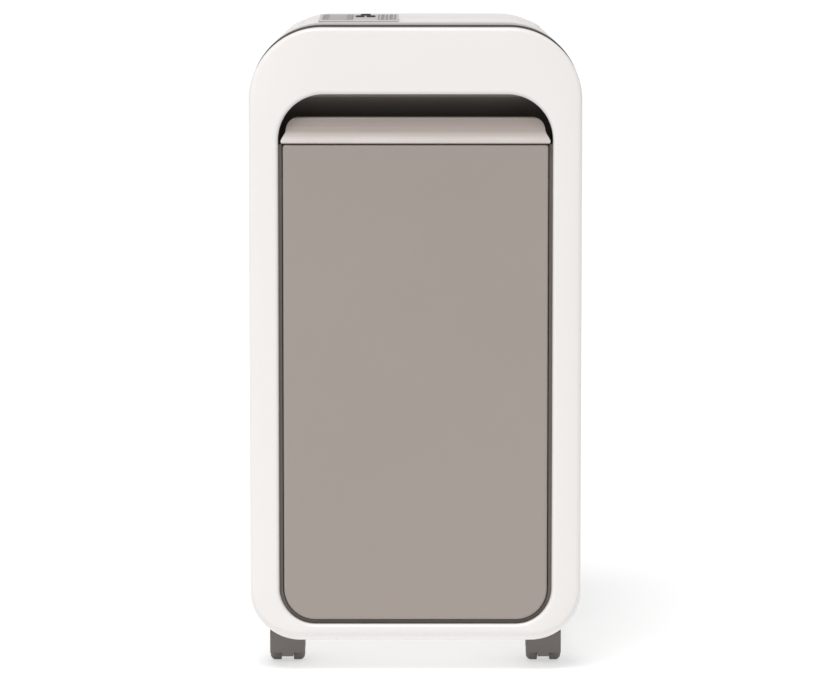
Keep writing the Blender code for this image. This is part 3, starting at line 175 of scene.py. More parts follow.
def moulded(name, colour, roughness, grain=0.7 * MM, depth=0.004 * MM, coat=0.0, variation=0.03, dust_and_shade=0.06,
            smear=0.12):
    """Injection-moulded plastic: a fine grain, slow drifts of tone and gloss, and corners darkened with painted
    shade and dust.
    """
    made, nodes, links, shader = shader_of(name, roughness, coat=coat)
    drift = noise(nodes, links, 5.0, 4.0)
    tone = ramp(nodes, links, drift, shade(colour, 1 - variation), shade(colour, 1 + variation / 2))
    # Painted shade and dust: ambient occlusion darkens the colour in corners, creases and recesses.
    dust_and_shade_ao = nodes.new("ShaderNodeAmbientOcclusion")
    dust_and_shade_ao.inputs["Distance"].default_value = 9 * MM
    dust_and_shade_ao.samples = 8
    corners = nodes.new("ShaderNodeMapRange")
    corners.inputs["From Min"].default_value = 0.25
    corners.inputs["From Max"].default_value = 0.8
    corners.inputs["To Min"].default_value = 1 - dust_and_shade * 3
    links.new(dust_and_shade_ao.outputs["AO"], corners.inputs["Value"])
    mixed = nodes.new("ShaderNodeMix")
    mixed.data_type = "RGBA"
    mixed.blend_type = "MULTIPLY"
    mixed.inputs["Factor"].default_value = 1.0
    # For colours, a mix node has its two inputs at 6 and 7 and its output at 2.
    links.new(tone, mixed.inputs[6])
    links.new(corners.outputs["Result"], mixed.inputs[7])
    links.new(mixed.outputs[2], shader.inputs["Base Color"])
    smears = noise(nodes, links, 14.0, 6.0, (1, 1, 0.35))
    roughness_range(nodes, links, smears, roughness * (1 - smear), roughness * (1 + smear), shader)
    fine = noise(nodes, links, 1 / grain, 2.0)
    flow = noise(nodes, links, 18.0, 2.0)
    bump(nodes, links, shader, [(fine, depth), (flow, 0.008 * MM)])
    return made


def machined(name, colour, roughness, stretch=(1, 1, 1), oil=0.25):
    """Worked steel: fine tool marks along one direction, and darker patches of oil."""
    made, nodes, links, shader = shader_of(name, roughness, metallic=1.0)
    patches = noise(nodes, links, 30.0, 5.0)
    tone = ramp(nodes, links, patches, shade(colour, 1 - oil), colour, 0.35, 0.6)
    links.new(tone, shader.inputs["Base Color"])
    marks = noise(nodes, links, 900.0, 2.0, stretch)
    roughness_range(nodes, links, patches, roughness * 0.7, roughness * 1.3, shader)
    bump(nodes, links, shader, [(marks, 0.006 * MM)])
    return made


def smoked_window(name):
    """A tinted display window, a little hazy, over the grey panel behind it."""
    made, nodes, links, shader = shader_of(name, 0.3, specular=0.15)
    cloud = noise(nodes, links, 60.0, 2.0)
    links.new(ramp(nodes, links, cloud, (0.27, 0.25, 0.24), (0.33, 0.31, 0.30)), shader.inputs["Base Color"])
    wipes = noise(nodes, links, 40.0, 5.0, (1, 0.2, 1))
    roughness_range(nodes, links, wipes, 0.25, 0.36, shader)
    bump(nodes, links, shader, [(wipes, 0.002 * MM)])
    return made


def lit(name, colour, strength):
    """A small indicator lamp's diffuser."""
    made, nodes, links, shader = shader_of(name, 0.3, coat=0.4)
    spots = noise(nodes, links, 700.0, 1.0)
    links.new(ramp(nodes, links, spots, shade(colour, 0.85), colour), shader.inputs["Base Color"])
    shader.inputs["Emission Color"].default_value = (*colour, 1)
    shader.inputs["Emission Strength"].default_value = strength
    return made


BEZEL_WHITE = moulded("bezel_white", (0.835, 0.808, 0.793), 0.30, depth=0.001 * MM, coat=0.2,
                      variation=0.006, dust_and_shade=0.03, smear=0.03)
SHELL_WHITE = moulded("shell_white", (0.865, 0.845, 0.83), 0.42, grain=0.8 * MM, depth=0.006 * MM,
                      variation=0.02, dust_and_shade=0.05)
BIN_TAUPE = moulded("bin_taupe", (0.345, 0.295, 0.268), 0.30, grain=0.6 * MM, depth=0.002 * MM,
                    variation=0.03, dust_and_shade=0.08)
TUB_GREY = moulded("tub_grey", (0.17, 0.155, 0.145), 0.5, grain=0.9 * MM, depth=0.012 * MM, variation=0.06,
                   dust_and_shade=0.15)
DARK_TRIM = moulded("dark_trim", (0.085, 0.074, 0.066), 0.42, grain=0.6 * MM, depth=0.006 * MM,
                    variation=0.06, dust_and_shade=0.12)
CASTER_GREY = moulded("caster_grey", (0.175, 0.152, 0.142), 0.45, grain=0.5 * MM, depth=0.005 * MM,
                      variation=0.05, dust_and_shade=0.1)
TREAD_GREY = moulded("tread_grey", (0.155, 0.136, 0.127), 0.6, grain=0.5 * MM, depth=0.01 * MM,
                     variation=0.12, dust_and_shade=0.15)
KEY_DARK = moulded("key_dark", (0.045, 0.04, 0.038), 0.35, grain=0.4 * MM, depth=0.003 * MM, variation=0.05)
ICON_GREY = moulded("icon_grey", (0.62, 0.60, 0.58), 0.45, grain=0.3 * MM, depth=0.001 * MM)
NYLON = moulded("nylon", (0.70, 0.67, 0.58), 0.5, grain=0.6 * MM, depth=0.006 * MM, variation=0.05)
BOARD = moulded("board", (0.02, 0.13, 0.055), 0.4, grain=1.5 * MM, depth=0.01 * MM, coat=0.4, variation=0.2)
LABEL = moulded("label", (0.60, 0.60, 0.60), 0.3, grain=0.4 * MM, depth=0.001 * MM, variation=0.03)
STEEL = machined("steel", (0.56, 0.56, 0.57), 0.3, (0.1, 1, 1))
ZINC = machined("zinc", (0.62, 0.64, 0.66), 0.42, (1, 1, 1), oil=0.12)
BLACK_PAINT = moulded("black_paint", (0.03, 0.03, 0.032), 0.4, grain=1.2 * MM, depth=0.01 * MM, coat=0.2,
                      variation=0.15)
WINDOW = smoked_window("display_window")
CONSOLE_GREY = moulded("console_grey", (0.60, 0.575, 0.555), 0.35, grain=0.5 * MM, depth=0.003 * MM,
                       coat=0.1)
SCOOP_BROWN = moulded("scoop_brown", (0.165, 0.14, 0.122), 0.5, grain=0.6 * MM, depth=0.006 * MM,
                      variation=0.05, dust_and_shade=0.05)
SLEEVE_BROWN = moulded("sleeve_brown", (0.15, 0.13, 0.115), 0.55, grain=0.6 * MM, depth=0.006 * MM,
                       variation=0.05, dust_and_shade=0)
PRINT_GREY = moulded("print_grey", (0.26, 0.245, 0.235), 0.45, grain=0.3 * MM, depth=0.001 * MM)
GREEN_LAMP = lit("green_lamp", (0.10, 0.55, 0.20), 0.4)


# ---- Shapes --------------------------------------------------------------------------------------
def arc(centre, radius, start, end, steps=CORNER_STEPS):
    """Points on an arc, angles in degrees, both ends included."""
    turns = [radians(start + (end - start) * k / steps) for k in range(steps + 1)]
    return [(centre[0] + radius * cos(a), centre[1] + radius * sin(a)) for a in turns]


def circle(centre, radius, steps=48):
    """Points round a circle, anticlockwise."""
    return arc(centre, radius, 0, 360, steps)[:-1]


def rounded(low_a, high_a, low_b, high_b, r_low, r_high=None, steps=CORNER_STEPS):
    """A rounded rectangle, anticlockwise, with one radius for its lower corners and one for its upper."""
    r_high = r_low if r_high is None else r_high
    return (
        arc((high_a - r_low, low_b + r_low), r_low, -90, 0, steps)
        + arc((high_a - r_high, high_b - r_high), r_high, 0, 90, steps)
        + arc((low_a + r_high, high_b - r_high), r_high, 90, 180, steps)
        + arc((low_a + r_low, low_b + r_low), r_low, 180, 270, steps)
    )


def oblong(a, b, half_a, half_b, radius, steps=6):
    """A rounded rectangle about the point (a, b)."""
    return rounded(a - half_a, a + half_a, b - half_b, b + half_b, radius, steps=steps)


def opening(grow):
    """The front opening's outline, made larger all round."""
    half = OPENING_HALF_W + grow
    return rounded(-half, half, OPENING_LOW - grow, OPENING_HIGH + grow, OPENING_R_BOTTOM + grow,
                   OPENING_R_TOP + grow)


def new_piece(name, mesh):
    """A new object with this mesh, in the scene."""
    made = bpy.data.objects.new(name, mesh)
    bpy.context.scene.collection.objects.link(made)
    return made


def mesh_from(name, shape):
    """A mesh from a bmesh, with its faces turned outwards. The bmesh is freed."""
    mesh = bpy.data.meshes.new(name)
    bmesh.ops.recalc_face_normals(shape, faces=shape.faces)
    shape.to_mesh(mesh)
    shape.free()
    return mesh


def slabs(name, outlines, axis, low, high):
    """Outlines made solid between two places on an axis, as one piece."""
    shape = bmesh.new()
    caps = [shape.faces.new([shape.verts.new((a, b, low)) for a, b in outline]) for outline in outlines]
    raised = bmesh.ops.extrude_face_region(shape, geom=caps)
    top = [v for v in raised["geom"] if isinstance(v, bmesh.types.BMVert)]
    bmesh.ops.translate(shape, vec=(0, 0, high - low), verts=top)
    if axis == "Y":
        bmesh.ops.scale(shape, vec=(1, 1, -1), verts=shape.verts)
    bmesh.ops.transform(shape, matrix=ROTATIONS[axis], verts=shape.verts)
    return new_piece(name, mesh_from(name, shape))


def slab(name, outline, axis, low, high):
    """One outline made solid between two places on an axis."""
    return slabs(name, [outline], axis, low, high)


def lathe(name, profile, axis, centre, steps=64, closed=False):
    """A turned piece from (radius, height) points; closed joins the last to the first."""
    mesh = bpy.data.meshes.new(name)
    edges = [(k, k + 1) for k in range(len(profile) - 1)]
    if closed:
        edges.append((len(profile) - 1, 0))
    mesh.from_pydata([(r, 0, h) for r, h in profile], edges, [])
    made = new_piece(name, mesh)
    made.matrix_world = Matrix.Translation(centre) @ ROTATIONS[axis]
    screw = made.modifiers.new("Screw", "SCREW")
    screw.steps = screw.render_steps = steps
    screw.use_merge_vertices = True
    screw.merge_threshold = 0.01 * MM
    return made


def cut(piece, *cutters, operation="DIFFERENCE"):
    """Cuts the cutters out of a piece, or joins or intersects them with it."""
    for cutter in cutters:
        step = piece.modifiers.new("Boolean", "BOOLEAN")
        step.operation = operation
        step.object = cutter
        step.solver = "EXACT"
        cutter.hide_render = True
        cutter.hide_viewport = False
        cutter.display_type = "WIRE"


def soften(piece, width=0.6 * MM, segments=3, angle=35):
    """Rounds the piece's edges."""
    bevel = piece.modifiers.new("Bevel", "BEVEL")
    bevel.width = width
    bevel.segments = segments
    bevel.limit_method = "ANGLE"
    bevel.angle_limit = radians(angle)
    bevel.use_clamp_overlap = True


def settle(piece):
    """Applies the modifiers, drops the cutters they used and shades round stretches smooth."""
    bpy.context.view_layer.update()
    graph = bpy.context.evaluated_depsgraph_get()
    mesh = bpy.data.meshes.new_from_object(piece.evaluated_get(graph))
    cutters = [m.object for m in piece.modifiers if m.type == "BOOLEAN"]
    piece.modifiers.clear()
    piece.data = mesh
    for cutter in cutters:
        bpy.data.objects.remove(cutter)
    mesh.shade_smooth()
    mesh.set_sharp_from_angle(angle=radians(32))
    weighted = piece.modifiers.new("Weighted normals", "WEIGHTED_NORMAL")
    weighted.keep_sharp = True


def dress(piece, material, body, slot, *nodes):
    """Finishes a piece: its material, the body it rides on and the CAD nodes it stands for. The slot is not used.
    """
    settle(piece)
    piece.data.materials.clear()
    piece.data.materials.append(material)
    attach(piece, body)
    if nodes:
        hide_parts(*nodes)


def dish(name, outline, axis, face, rim, edge_radius, segments=8):
    """An open tray: a face with an outline, a rounded edge and walls back to its rim."""
    shape = bmesh.new()
    floor = shape.faces.new([shape.verts.new((a, b, face)) for a, b in outline])
    sides = bmesh.ops.extrude_edge_only(shape, edges=floor.edges)
    moved = [v for v in sides["geom"] if isinstance(v, bmesh.types.BMVert)]
    bmesh.ops.translate(shape, vec=(0, 0, rim - face), verts=moved)
    bmesh.ops.recalc_face_normals(shape, faces=shape.faces)
    middle = (face + rim) / 2
    if floor.normal.z * (face - middle) < 0:
        bmesh.ops.reverse_faces(shape, faces=shape.faces)
    if axis == "Y":
        shape.transform(Matrix.Scale(-1, 4, (0, 0, 1)))
        bmesh.ops.reverse_faces(shape, faces=shape.faces)
    shape.transform(ROTATIONS[axis])
    mesh = bpy.data.meshes.new(name)
    shape.to_mesh(mesh)
    shape.free()
    made = new_piece(name, mesh)
    soften(made, edge_radius, segments, 50)
    solid = made.modifiers.new("Solidify", "SOLIDIFY")
    solid.thickness = WALL
    solid.offset = -1
    solid.use_even_offset = True
    return made


# ---- Bezel ---------------------------------------------------------------------------------------
def edge_distance(x, z, half_w, low, high, r_low, r_high):
    """Signed distance from a rounded rectangle about the middle plane, negative inside."""
    radius = r_high if z > (low + high) / 2 else r_low
    dx = abs(x) - (half_w - radius)
    dz = max(z - (high - radius), (low + radius) - z)
    return hypot(max(dx, 0), max(dz, 0)) + min(max(dx, dz), 0) - radius


def reach_edge(start, heading, outline):
    """How far it is from a point inside a rounded rectangle to its edge."""
    near, far = 0.0, 2 * HALF_W
    for _ in range(40):
        middle = (near + far) / 2
        if edge_distance(start[0] + heading[0] * middle, start[1] + heading[1] * middle, *outline) < 0:
            near = middle
        else:
            far = middle
    return near


def bezel_section(band, heading):
    """(distance from the opening, depth) points round the bezel's section, for a band that faces heading."""
    below = max(0.0, -heading[1]) ** 2
    corner = 4 * (heading[0] * heading[1]) ** 2
    side = heading[0] ** 2
    lean = (0.02 + 0.05 * side + 0.03 * corner) * (1 - below)
    crown = 0.05 * side + 0.05 * corner + 0.02
    inner_r = 4 * MM
    outer_r = 3.5 * MM + 1.5 * MM * side + 8 * MM * below
    return_end = 9 * MM
    depth = BEZEL_HIGH.y - BEZEL_LOW.y
    start = band - outer_r
    flat_steps = 8

    def face(across):
        share = across / band
        return lean * across + crown * band * share**3

    def rim(angle):
        across = start + outer_r * sin(radians(angle))
        return across, outer_r - outer_r * cos(radians(angle)) + face(across)

    section = [(0, return_end)]
    section += [(inner_r - inner_r * cos(radians(a)), inner_r - inner_r * sin(radians(a)) + face(inner_r))
                for a in range(0, 91, 15)]
    flat = [inner_r + (start - inner_r) * k / flat_steps for k in range(1, flat_steps + 1)]
    section += [(a, face(a)) for a in flat]
    section += [rim(a) for a in range(12, 91, 13)]
    section += [(band, outer_r + face(band) + 1 * MM), (band, depth), (band - WALL, depth),
                (band - WALL, outer_r + WALL + face(band)), (start, face(start) + WALL),
                (WALL, WALL + 1 * MM), (WALL, return_end)]
    return section


def bezel():
    """The bezel, one moulding whose section changes on its way round the opening."""
    outer = (HALF_W, BEZEL_LOW.z, BEZEL_HIGH.z, BEZEL_R_BOTTOM, BEZEL_R_TOP)
    half = OPENING_HALF_W
    steps = CORNER_STEPS * 2
    # Each corner: its side, the way from its edge to its centre, the edge, the radius and the first angle.
    corners = [(1, 1, OPENING_LOW, OPENING_R_BOTTOM, -90), (1, -1, OPENING_HIGH, OPENING_R_TOP, 0),
               (-1, -1, OPENING_HIGH, OPENING_R_TOP, 90), (-1, 1, OPENING_LOW, OPENING_R_BOTTOM, 180)]
    shape = bmesh.new()
    rings = []
    for side, inward, edge_z, radius, first in corners:
        centre = (side * (half - radius), edge_z + inward * radius)
        for k in range(steps + 1):
            angle = radians(first + 90 * k / steps)
            heading = (cos(angle), sin(angle))
            band = reach_edge(centre, heading, outer) - radius
            rings.append([shape.verts.new((centre[0] + (radius + a) * heading[0], FRONT_Y + d,
                                           centre[1] + (radius + a) * heading[1]))
                          for a, d in bezel_section(band, heading)])
    for ring, after in zip(rings, rings[1:] + rings[:1]):
        for k, vert in enumerate(ring):
            other = (k + 1) % len(ring)
            shape.faces.new((vert, ring[other], after[other], after[k]))
    piece = new_piece("bezel_shell", mesh_from("bezel_shell", shape))
    dress(piece, BEZEL_WHITE, "cabinet", "gloss_white", "front_bezel")


def dark_frame():
    """The dark frame behind the bezel, its sleeve round the opening and the seal round the bin."""
    inset = 0.6 * MM
    outer = rounded(FRAME_LOW.x, FRAME_HIGH.x, FRAME_LOW.z, DECK_Z - WALL + inset, BODY_R_BOTTOM - inset,
                    BEZEL_R_TOP - inset)
    front = BEZEL_HIGH.y + 0.3 * MM
    back = front + 5 * MM
    plate = slab("frame_plate", outer, "Y", front, back)
    cut(plate, slab("frame_hole", opening(2 * MM), "Y", front - WALL, back + WALL))
    soften(plate, 0.5 * MM)
    dress(plate, DARK_TRIM, "cabinet", "dark_plastic", "front_frame")
    sleeve_inside, sleeve_outside = 0.8 * MM, 3.3 * MM
    sleeve = slab("frame_sleeve", opening(sleeve_outside), "Y", FRAME_LOW.y, FRAME_HIGH.y)
    cut(sleeve, slab("sleeve_hole", opening(sleeve_inside), "Y", FRAME_LOW.y - WALL, FRAME_HIGH.y + WALL))
    soften(sleeve, 0.5 * MM)
    dress(sleeve, SLEEVE_BROWN, "cabinet", "dark_plastic")
    seal_front = FRONT_Y + 6.5 * MM
    through = (seal_front - WALL, seal_front + 2 * WALL)
    seal = slab("bin_seal", opening(0.6 * MM), "Y", seal_front, seal_front + 2.5 * MM)
    cut(seal, slab("seal_hole", opening(sleeve_inside - BIN_GAP), "Y", *through),
        slab("seal_end", rounded(-HALF_W, HALF_W, PANEL_HIGH.z, DECK_Z, 1 * MM, steps=2), "Y", *through))
    soften(seal, 0.6 * MM, 3)
    dress(seal, SLEEVE_BROWN, "cabinet", "dark_plastic")


# ---- Body shells ---------------------------------------------------------------------------------
def arch(grow, foot):
    """The body's arched top, moved outwards by grow and brought down to foot."""
    half, high, radius = HALF_W + grow, DECK_Z + grow, BODY_R_TOP + grow
    return ([(half, foot)] + arc((half - radius, high - radius), radius, 0, 90)
            + arc((-half + radius, high - radius), radius, 90, 180) + [(-half, foot)])


def top_shell():
    """The top cover, an arched sheet with openings for the paper entry and under the console."""
    foot = COVER_LOW.z
    shell = slab("top_shell", arch(0, foot) + arch(-WALL, foot)[::-1], "Y", COVER_LOW.y, COVER_HIGH.y)
    entry_half_w, entry_half_depth, corner = 123 * MM, 10.3 * MM, 2 * MM
    lip = 4 * MM
    cut(shell,
        slab("throat_cut", oblong(0, MIDDLE_Y, entry_half_w, entry_half_depth, corner, CORNER_STEPS),
             "Z", DECK_Z - 5 * PAST, DECK_Z + PAST),
        slab("console_cut", rounded(CONSOLE_LOW.x + lip, CONSOLE_HIGH.x - lip, CONSOLE_LOW.y + lip,
                                    CONSOLE_HIGH.y - lip, corner), "Z", DECK_Z - PAST, DECK_Z + PAST))
    soften(shell, 0.7 * MM)
    dress(shell, SHELL_WHITE, "cabinet", "shell_white", "top_cover")


def base_shell():
    """The base tray and its four caster sockets."""
    half, rim, radius = HALF_W, TRAY_HIGH.z, BODY_R_BOTTOM

    def trough(wall):
        low, r = TRAY_LOW.z + wall, radius - wall
        return ([(-half + wall, rim)] + arc((-half + radius, low + r), r, 180, 270)
                + arc((half - radius, low + r), r, 270, 360) + [(half - wall, rim)])

    shell = slab("base_shell", trough(0) + trough(WALL)[::-1], "Y", TRAY_LOW.y, TRAY_HIGH.y)
    soften(shell, 0.7 * MM)
    dress(shell, SHELL_WHITE, "cabinet", "shell_white", "base_tray")
    socket_r, bore_r, foot, head = 9 * MM, 4.4 * MM, 0.4 * MM, 34 * MM
    for place in PLACES:
        x, y = stem_of(place)
        profile = [(socket_r, head), (socket_r, foot), (bore_r, foot), (bore_r, head)]
        socket = lathe(f"socket_{place}", profile, "Z", (x, y, TRAY_LOW.z), 48, closed=True)
        soften(socket, 0.5 * MM)
        dress(socket, SHELL_WHITE, "cabinet", "shell_white")


def stem_of(place):
    """A caster's swivel axis, from its joint."""
    x, y, _ = frame_joint(f"swivel_{place}")["pos_m"]
    return x, y


def side_shells():
    """The two side panels between the tray and the cover."""
    for name in ("cabinet_left", "cabinet_right"):
        low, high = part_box(name)
        shell = slab(f"{name}_shell", rounded(low.y, high.y, low.z, high.z, 1 * MM, steps=4), "X",
                     low.x, high.x)
        soften(shell, 0.7 * MM)
        dress(shell, SHELL_WHITE, "cabinet", "shell_white", name)


def back_shells():
    """The cabinet back, and the head's back cover with its vents and openings."""
    edge_radius = 6 * MM
    low, high = BACK_LOW, BACK_HIGH
    lower = (arc((high.x - BODY_R_BOTTOM, low.z + BODY_R_BOTTOM), BODY_R_BOTTOM, -90, 0)
             + [(high.x, high.z), (low.x, high.z)]
             + arc((low.x + BODY_R_BOTTOM, low.z + BODY_R_BOTTOM), BODY_R_BOTTOM, 180, 270))
    lower_back = dish("back_shell", lower, "Y", high.y, low.y, edge_radius)
    dress(lower_back, SHELL_WHITE, "cabinet", "shell_white", "cabinet_back")
    low, high = HEAD_LOW, HEAD_HIGH
    upper = ([(high.x, low.z)] + arc((high.x - BODY_R_TOP, high.z - BODY_R_TOP), BODY_R_TOP, 0, 90)
             + arc((low.x + BODY_R_TOP, high.z - BODY_R_TOP), BODY_R_TOP, 90, 180) + [(low.x, low.z)])
    head_back = dish("head_back_shell", upper, "Y", high.y, low.y, edge_radius)
    through = (low.y - WALL, high.y + WALL)
    vent_start, vent_end, vent_half_h, vent_pitch, vent_count = 20 * MM, 112 * MM, 2 * MM, 9 * MM, 8
    motor_z = frame_joint("motor_spin")["pos_m"][2]
    for k in range(vent_count):
        z = motor_z + (k - (vent_count - 1) / 2) * vent_pitch
        vent = rounded(vent_start, vent_end, z - vent_half_h, z + vent_half_h, 1.95 * MM, steps=6)
        cut(head_back, slab(f"vent_{k}", vent, "Y", *through))
    switch = (SWITCH_LOW + SWITCH_HIGH) / 2
    gland = (GLAND_LOW + GLAND_HIGH) / 2
    cut(head_back,
        slab("switch_cut", oblong(switch.x, switch.z, 10 * MM, 14 * MM, 1 * MM, 4), "Y", *through),
        slab("gland_cut", circle((gland.x, gland.z), 6.5 * MM), "Y", *through))
    dress(head_back, SHELL_WHITE, "cabinet", "shell_white", "head_back_cover")


def frame_joint(name):
    """A joint of the frame, by its name."""
    return next(j for j in frame["joints"] if j["name"] == name)


# ---- Bin -----------------------------------------------------------------------------------------
def bin_front():
    """The bin's front panel and the sloping lip along its top."""
    radius = OPENING_R_BOTTOM - BIN_GAP
    low, high = PANEL_LOW, PANEL_HIGH
    outline = (arc((high.x - radius, low.z + radius), radius, -90, 0)
               + [(high.x, high.z), (low.x, high.z)]
               + arc((low.x + radius, low.z + radius), radius, 180, 270))
    panel = slab("bin_face", outline, "Y", low.y, high.y)
    soften(panel, 2.6 * MM, 5, 50)
    dress(panel, BIN_TAUPE, "bin", "bin_taupe", "bin_front_panel")
    foot, top = high.z + 0.7 * MM, LIP_HIGH.z
    nose = FRONT_Y + 0.3 * MM
    nose_r, crest_r = 0.8 * MM, 3 * MM
    # The slope leans back as it rises: millimetres behind the nose and above the foot.
    slope = ((2.3, 4.1), (4.3, 7.2), (6.7, 11.6), (8.8, 16.4), (10.4, 21), (11.3, 24.5))
    section = ([(nose + 4 * MM, foot)] + arc((nose + nose_r, foot + nose_r), nose_r, -90, -216, 8)
               + [(nose + back * MM, foot + up * MM) for back, up in slope]
               + arc((nose + 14.5 * MM, top - crest_r), crest_r, 170, 90, 8)
               + [(LIP_HIGH.y, top), (LIP_HIGH.y, foot)])
    lip = slab("bin_lip", section, "X", -HALF_W, HALF_W)
    wide = LIP_HIGH.x
    narrow = wide - 5 * MM
    corner = 13 * MM
    # Seen from the front, the lip is widest just above its foot.
    half = [(wide - 1.5 * MM, foot - 1 * MM), (wide - 0.3 * MM, foot + 1 * MM), (wide, foot + 3 * MM),
            (wide - 1.5 * MM, foot + 6 * MM), (narrow + 1 * MM, foot + 10 * MM)]
    half += arc((narrow - corner, top - corner), corner, 0, 90)[:-1]
    half += [(narrow - corner, top + 1 * MM)]
    bounds = half + [(-x, z) for x, z in half[::-1]]
    cut(lip, slab("lip_bounds", bounds, "Y", FRONT_Y - PAST, FRONT_Y + 6 * PAST), operation="INTERSECT")
    soften(lip, 0.8 * MM, 3, 50)
    dress(lip, BIN_TAUPE, "bin", "bin_taupe", "bin_handle_lip")


def bin_tub():
    """The tub, a thin-walled rounded box with a rolled rim and moulded ribs."""
    rim, corner = 3.5 * MM, 14 * MM
    low_x, high_x = TUB_LOW.x + rim, TUB_HIGH.x - rim
    low_y, high_y = TUB_LOW.y, TUB_HIGH.y - rim
    plan = rounded(low_x, high_x, low_y, high_y, corner)
    tub = dish("tub_shell", plan, "Z", TUB_LOW.z, TUB_HIGH.z - 1 * MM, 6 * MM)
    tub.modifiers["Solidify"].thickness = 2.5 * MM
    dress(tub, TUB_GREY, "bin", "tub_grey", "bin_tub")
    inside = 1 * MM
    ring = slab("tub_rim", rounded(TUB_LOW.x, TUB_HIGH.x, TUB_LOW.y, TUB_HIGH.y, corner + 2 * MM), "Z",
                TUB_HIGH.z - 5 * MM, TUB_HIGH.z)
    rim_hole = rounded(low_x + inside, high_x - inside, low_y + inside, high_y - inside, corner - inside)
    cut(ring, slab("rim_hole", rim_hole, "Z", TUB_HIGH.z - 8 * MM, TUB_HIGH.z + WALL))
    soften(ring, 1 * MM, 3)
    dress(ring, TUB_GREY, "bin", "tub_grey")
    rib_count, rib_half = 6, 1.5 * MM
    for name, side in (("tub_ribs_left", -1), ("tub_ribs_right", 1)):
        near, far = sorted((side * (high_x - inside), side * (high_x + 1.2 * MM)))
        outlines = []
        for k in range(rib_count):
            y = low_y + (k + 1) * (high_y - low_y) / (rib_count + 1)
            outlines.append([(near, y - rib_half), (far, y - rib_half), (far, y + rib_half),
                             (near, y + rib_half)])
        ribs = slabs(name, outlines, "Z", TUB_LOW.z + 12 * MM, TUB_HIGH.z - 6 * MM)
        soften(ribs, 0.5 * MM, 2)
        dress(ribs, TUB_GREY, "bin", "tub_grey")


# ---- Head fittings -------------------------------------------------------------------------------
def finger_scoop():
    """The dark scoop behind the lip, a curved roof and a back wall."""
    front, back, top, foot = RECESS_LOW.y, RECESS_HIGH.y, OPENING_HIGH + 0.2 * MM, RECESS_LOW.z
    drop, sheet = 46 * MM, 2.5 * MM
    reach = back - front

    def sweep(inset):
        return [(front + (reach - inset) * cos(radians(a)), top - drop + (drop - inset) * sin(radians(a)))
                for a in [90 - 90 * k / CORNER_STEPS for k in range(CORNER_STEPS + 1)]]

    section = sweep(0) + [(back, foot), (back - sheet, foot)] + sweep(sheet)[::-1]
    scoop = slab("scoop", section, "X", -HALF_W, HALF_W)
    cut(scoop, slab("scoop_bounds", opening(0.3 * MM), "Y", FRONT_Y, 0), operation="INTERSECT")
    dress(scoop, SCOOP_BROWN, "cabinet", "dark_plastic", "finger_recess")


def paper_entry():
    """The paper entry: a flange that follows the arched top, round a slot with a sloping mouth."""
    half_w, half_depth = THROAT_HIGH.x, (THROAT_HIGH.y - THROAT_LOW.y) / 2
    foot, above = COVER_LOW.z, DECK_Z + 2 * PAST
    skin = slab("entry_skin", arch(2 * MM, foot) + arch(-0.3 * MM, foot)[::-1], "Y",
                MIDDLE_Y - 2 * half_depth, MIDDLE_Y + 2 * half_depth)
    plan = oblong(0, MIDDLE_Y, half_w, half_depth, 8 * MM, CORNER_STEPS)
    cut(skin, slab("entry_plan", plan, "Z", THROAT_LOW.z, above), operation="INTERSECT")
    duct_half_w, duct_half_depth, corner = half_w - 7 * MM, 9 * MM, 2 * MM
    slot_half_w, narrow, mouth = duct_half_w - 4 * MM, 3 * MM, 8 * MM
    # The duct ends where the arch's shoulder has turned by 25 degrees, so it stays below the flange.
    end_z = DECK_Z - BODY_R_TOP + BODY_R_TOP * cos(radians(25))
    duct = slab("entry_duct", oblong(0, MIDDLE_Y, duct_half_w, duct_half_depth, corner), "Z",
                THROAT_LOW.z, end_z)
    slope = [(MIDDLE_Y - narrow, THROAT_LOW.z - WALL), (MIDDLE_Y + narrow, THROAT_LOW.z - WALL),
             (MIDDLE_Y + narrow, DECK_Z - 14 * MM), (MIDDLE_Y + mouth, DECK_Z + PAST),
             (MIDDLE_Y - mouth, DECK_Z + PAST), (MIDDLE_Y - narrow, DECK_Z - 14 * MM)]
    collar = slab("entry_collar", arch(1 * MM, foot) + arch(-12 * MM, foot)[::-1], "Y",
                  MIDDLE_Y - duct_half_depth, MIDDLE_Y + duct_half_depth)
    ends = oblong(0, MIDDLE_Y, duct_half_w, half_depth, corner)
    cut(collar, slab("collar_ends", ends, "Z", THROAT_LOW.z, above), operation="INTERSECT")
    settle(skin)
    settle(collar)
    cut(duct, collar, skin, operation="UNION")
    cut(duct, slab("entry_slope", slope, "X", -slot_half_w, slot_half_w))
    soften(duct, 0.6 * MM, 3, 40)
    dress(duct, SHELL_WHITE, "cabinet", "shell_white", "throat_guide")
    flag_half_w, flag_foot, flag_front_z, flag_back_z = 2.5 * MM, 600 * MM, 630 * MM, 622 * MM
    flag_front, flag_back = MIDDLE_Y - 2.2 * MM, MIDDLE_Y + 2.2 * MM
    flag = slab("paper_sensor", [(flag_front, flag_foot), (flag_back, flag_foot), (flag_back, flag_back_z),
                                 (flag_front, flag_front_z)], "X", -flag_half_w, flag_half_w)
    soften(flag, 0.6 * MM)
    dress(flag, KEY_DARK, "cabinet", "dark_plastic")


def console_z(y):
    """Height of the console's sloping top."""
    share = (y - CONSOLE_LOW.y) / (CONSOLE_HIGH.y - CONSOLE_LOW.y)
    return DECK_Z + CONSOLE_FRONT_RISE + share * (CONSOLE_REAR_RISE - CONSOLE_FRONT_RISE)


def tile(name, outline, below, above):
    """A thin piece that lies along the console's slope, from below to above its surface."""
    shape = bmesh.new()
    foot = [shape.verts.new((x, y, console_z(y) + below)) for x, y in outline]
    head = [shape.verts.new((x, y, console_z(y) + above)) for x, y in outline]
    shape.faces.new(foot)
    shape.faces.new(head)
    for k in range(len(outline)):
        other = (k + 1) % len(outline)
        shape.faces.new((foot[k], foot[other], head[other], head[k]))
    return new_piece(name, mesh_from(name, shape))


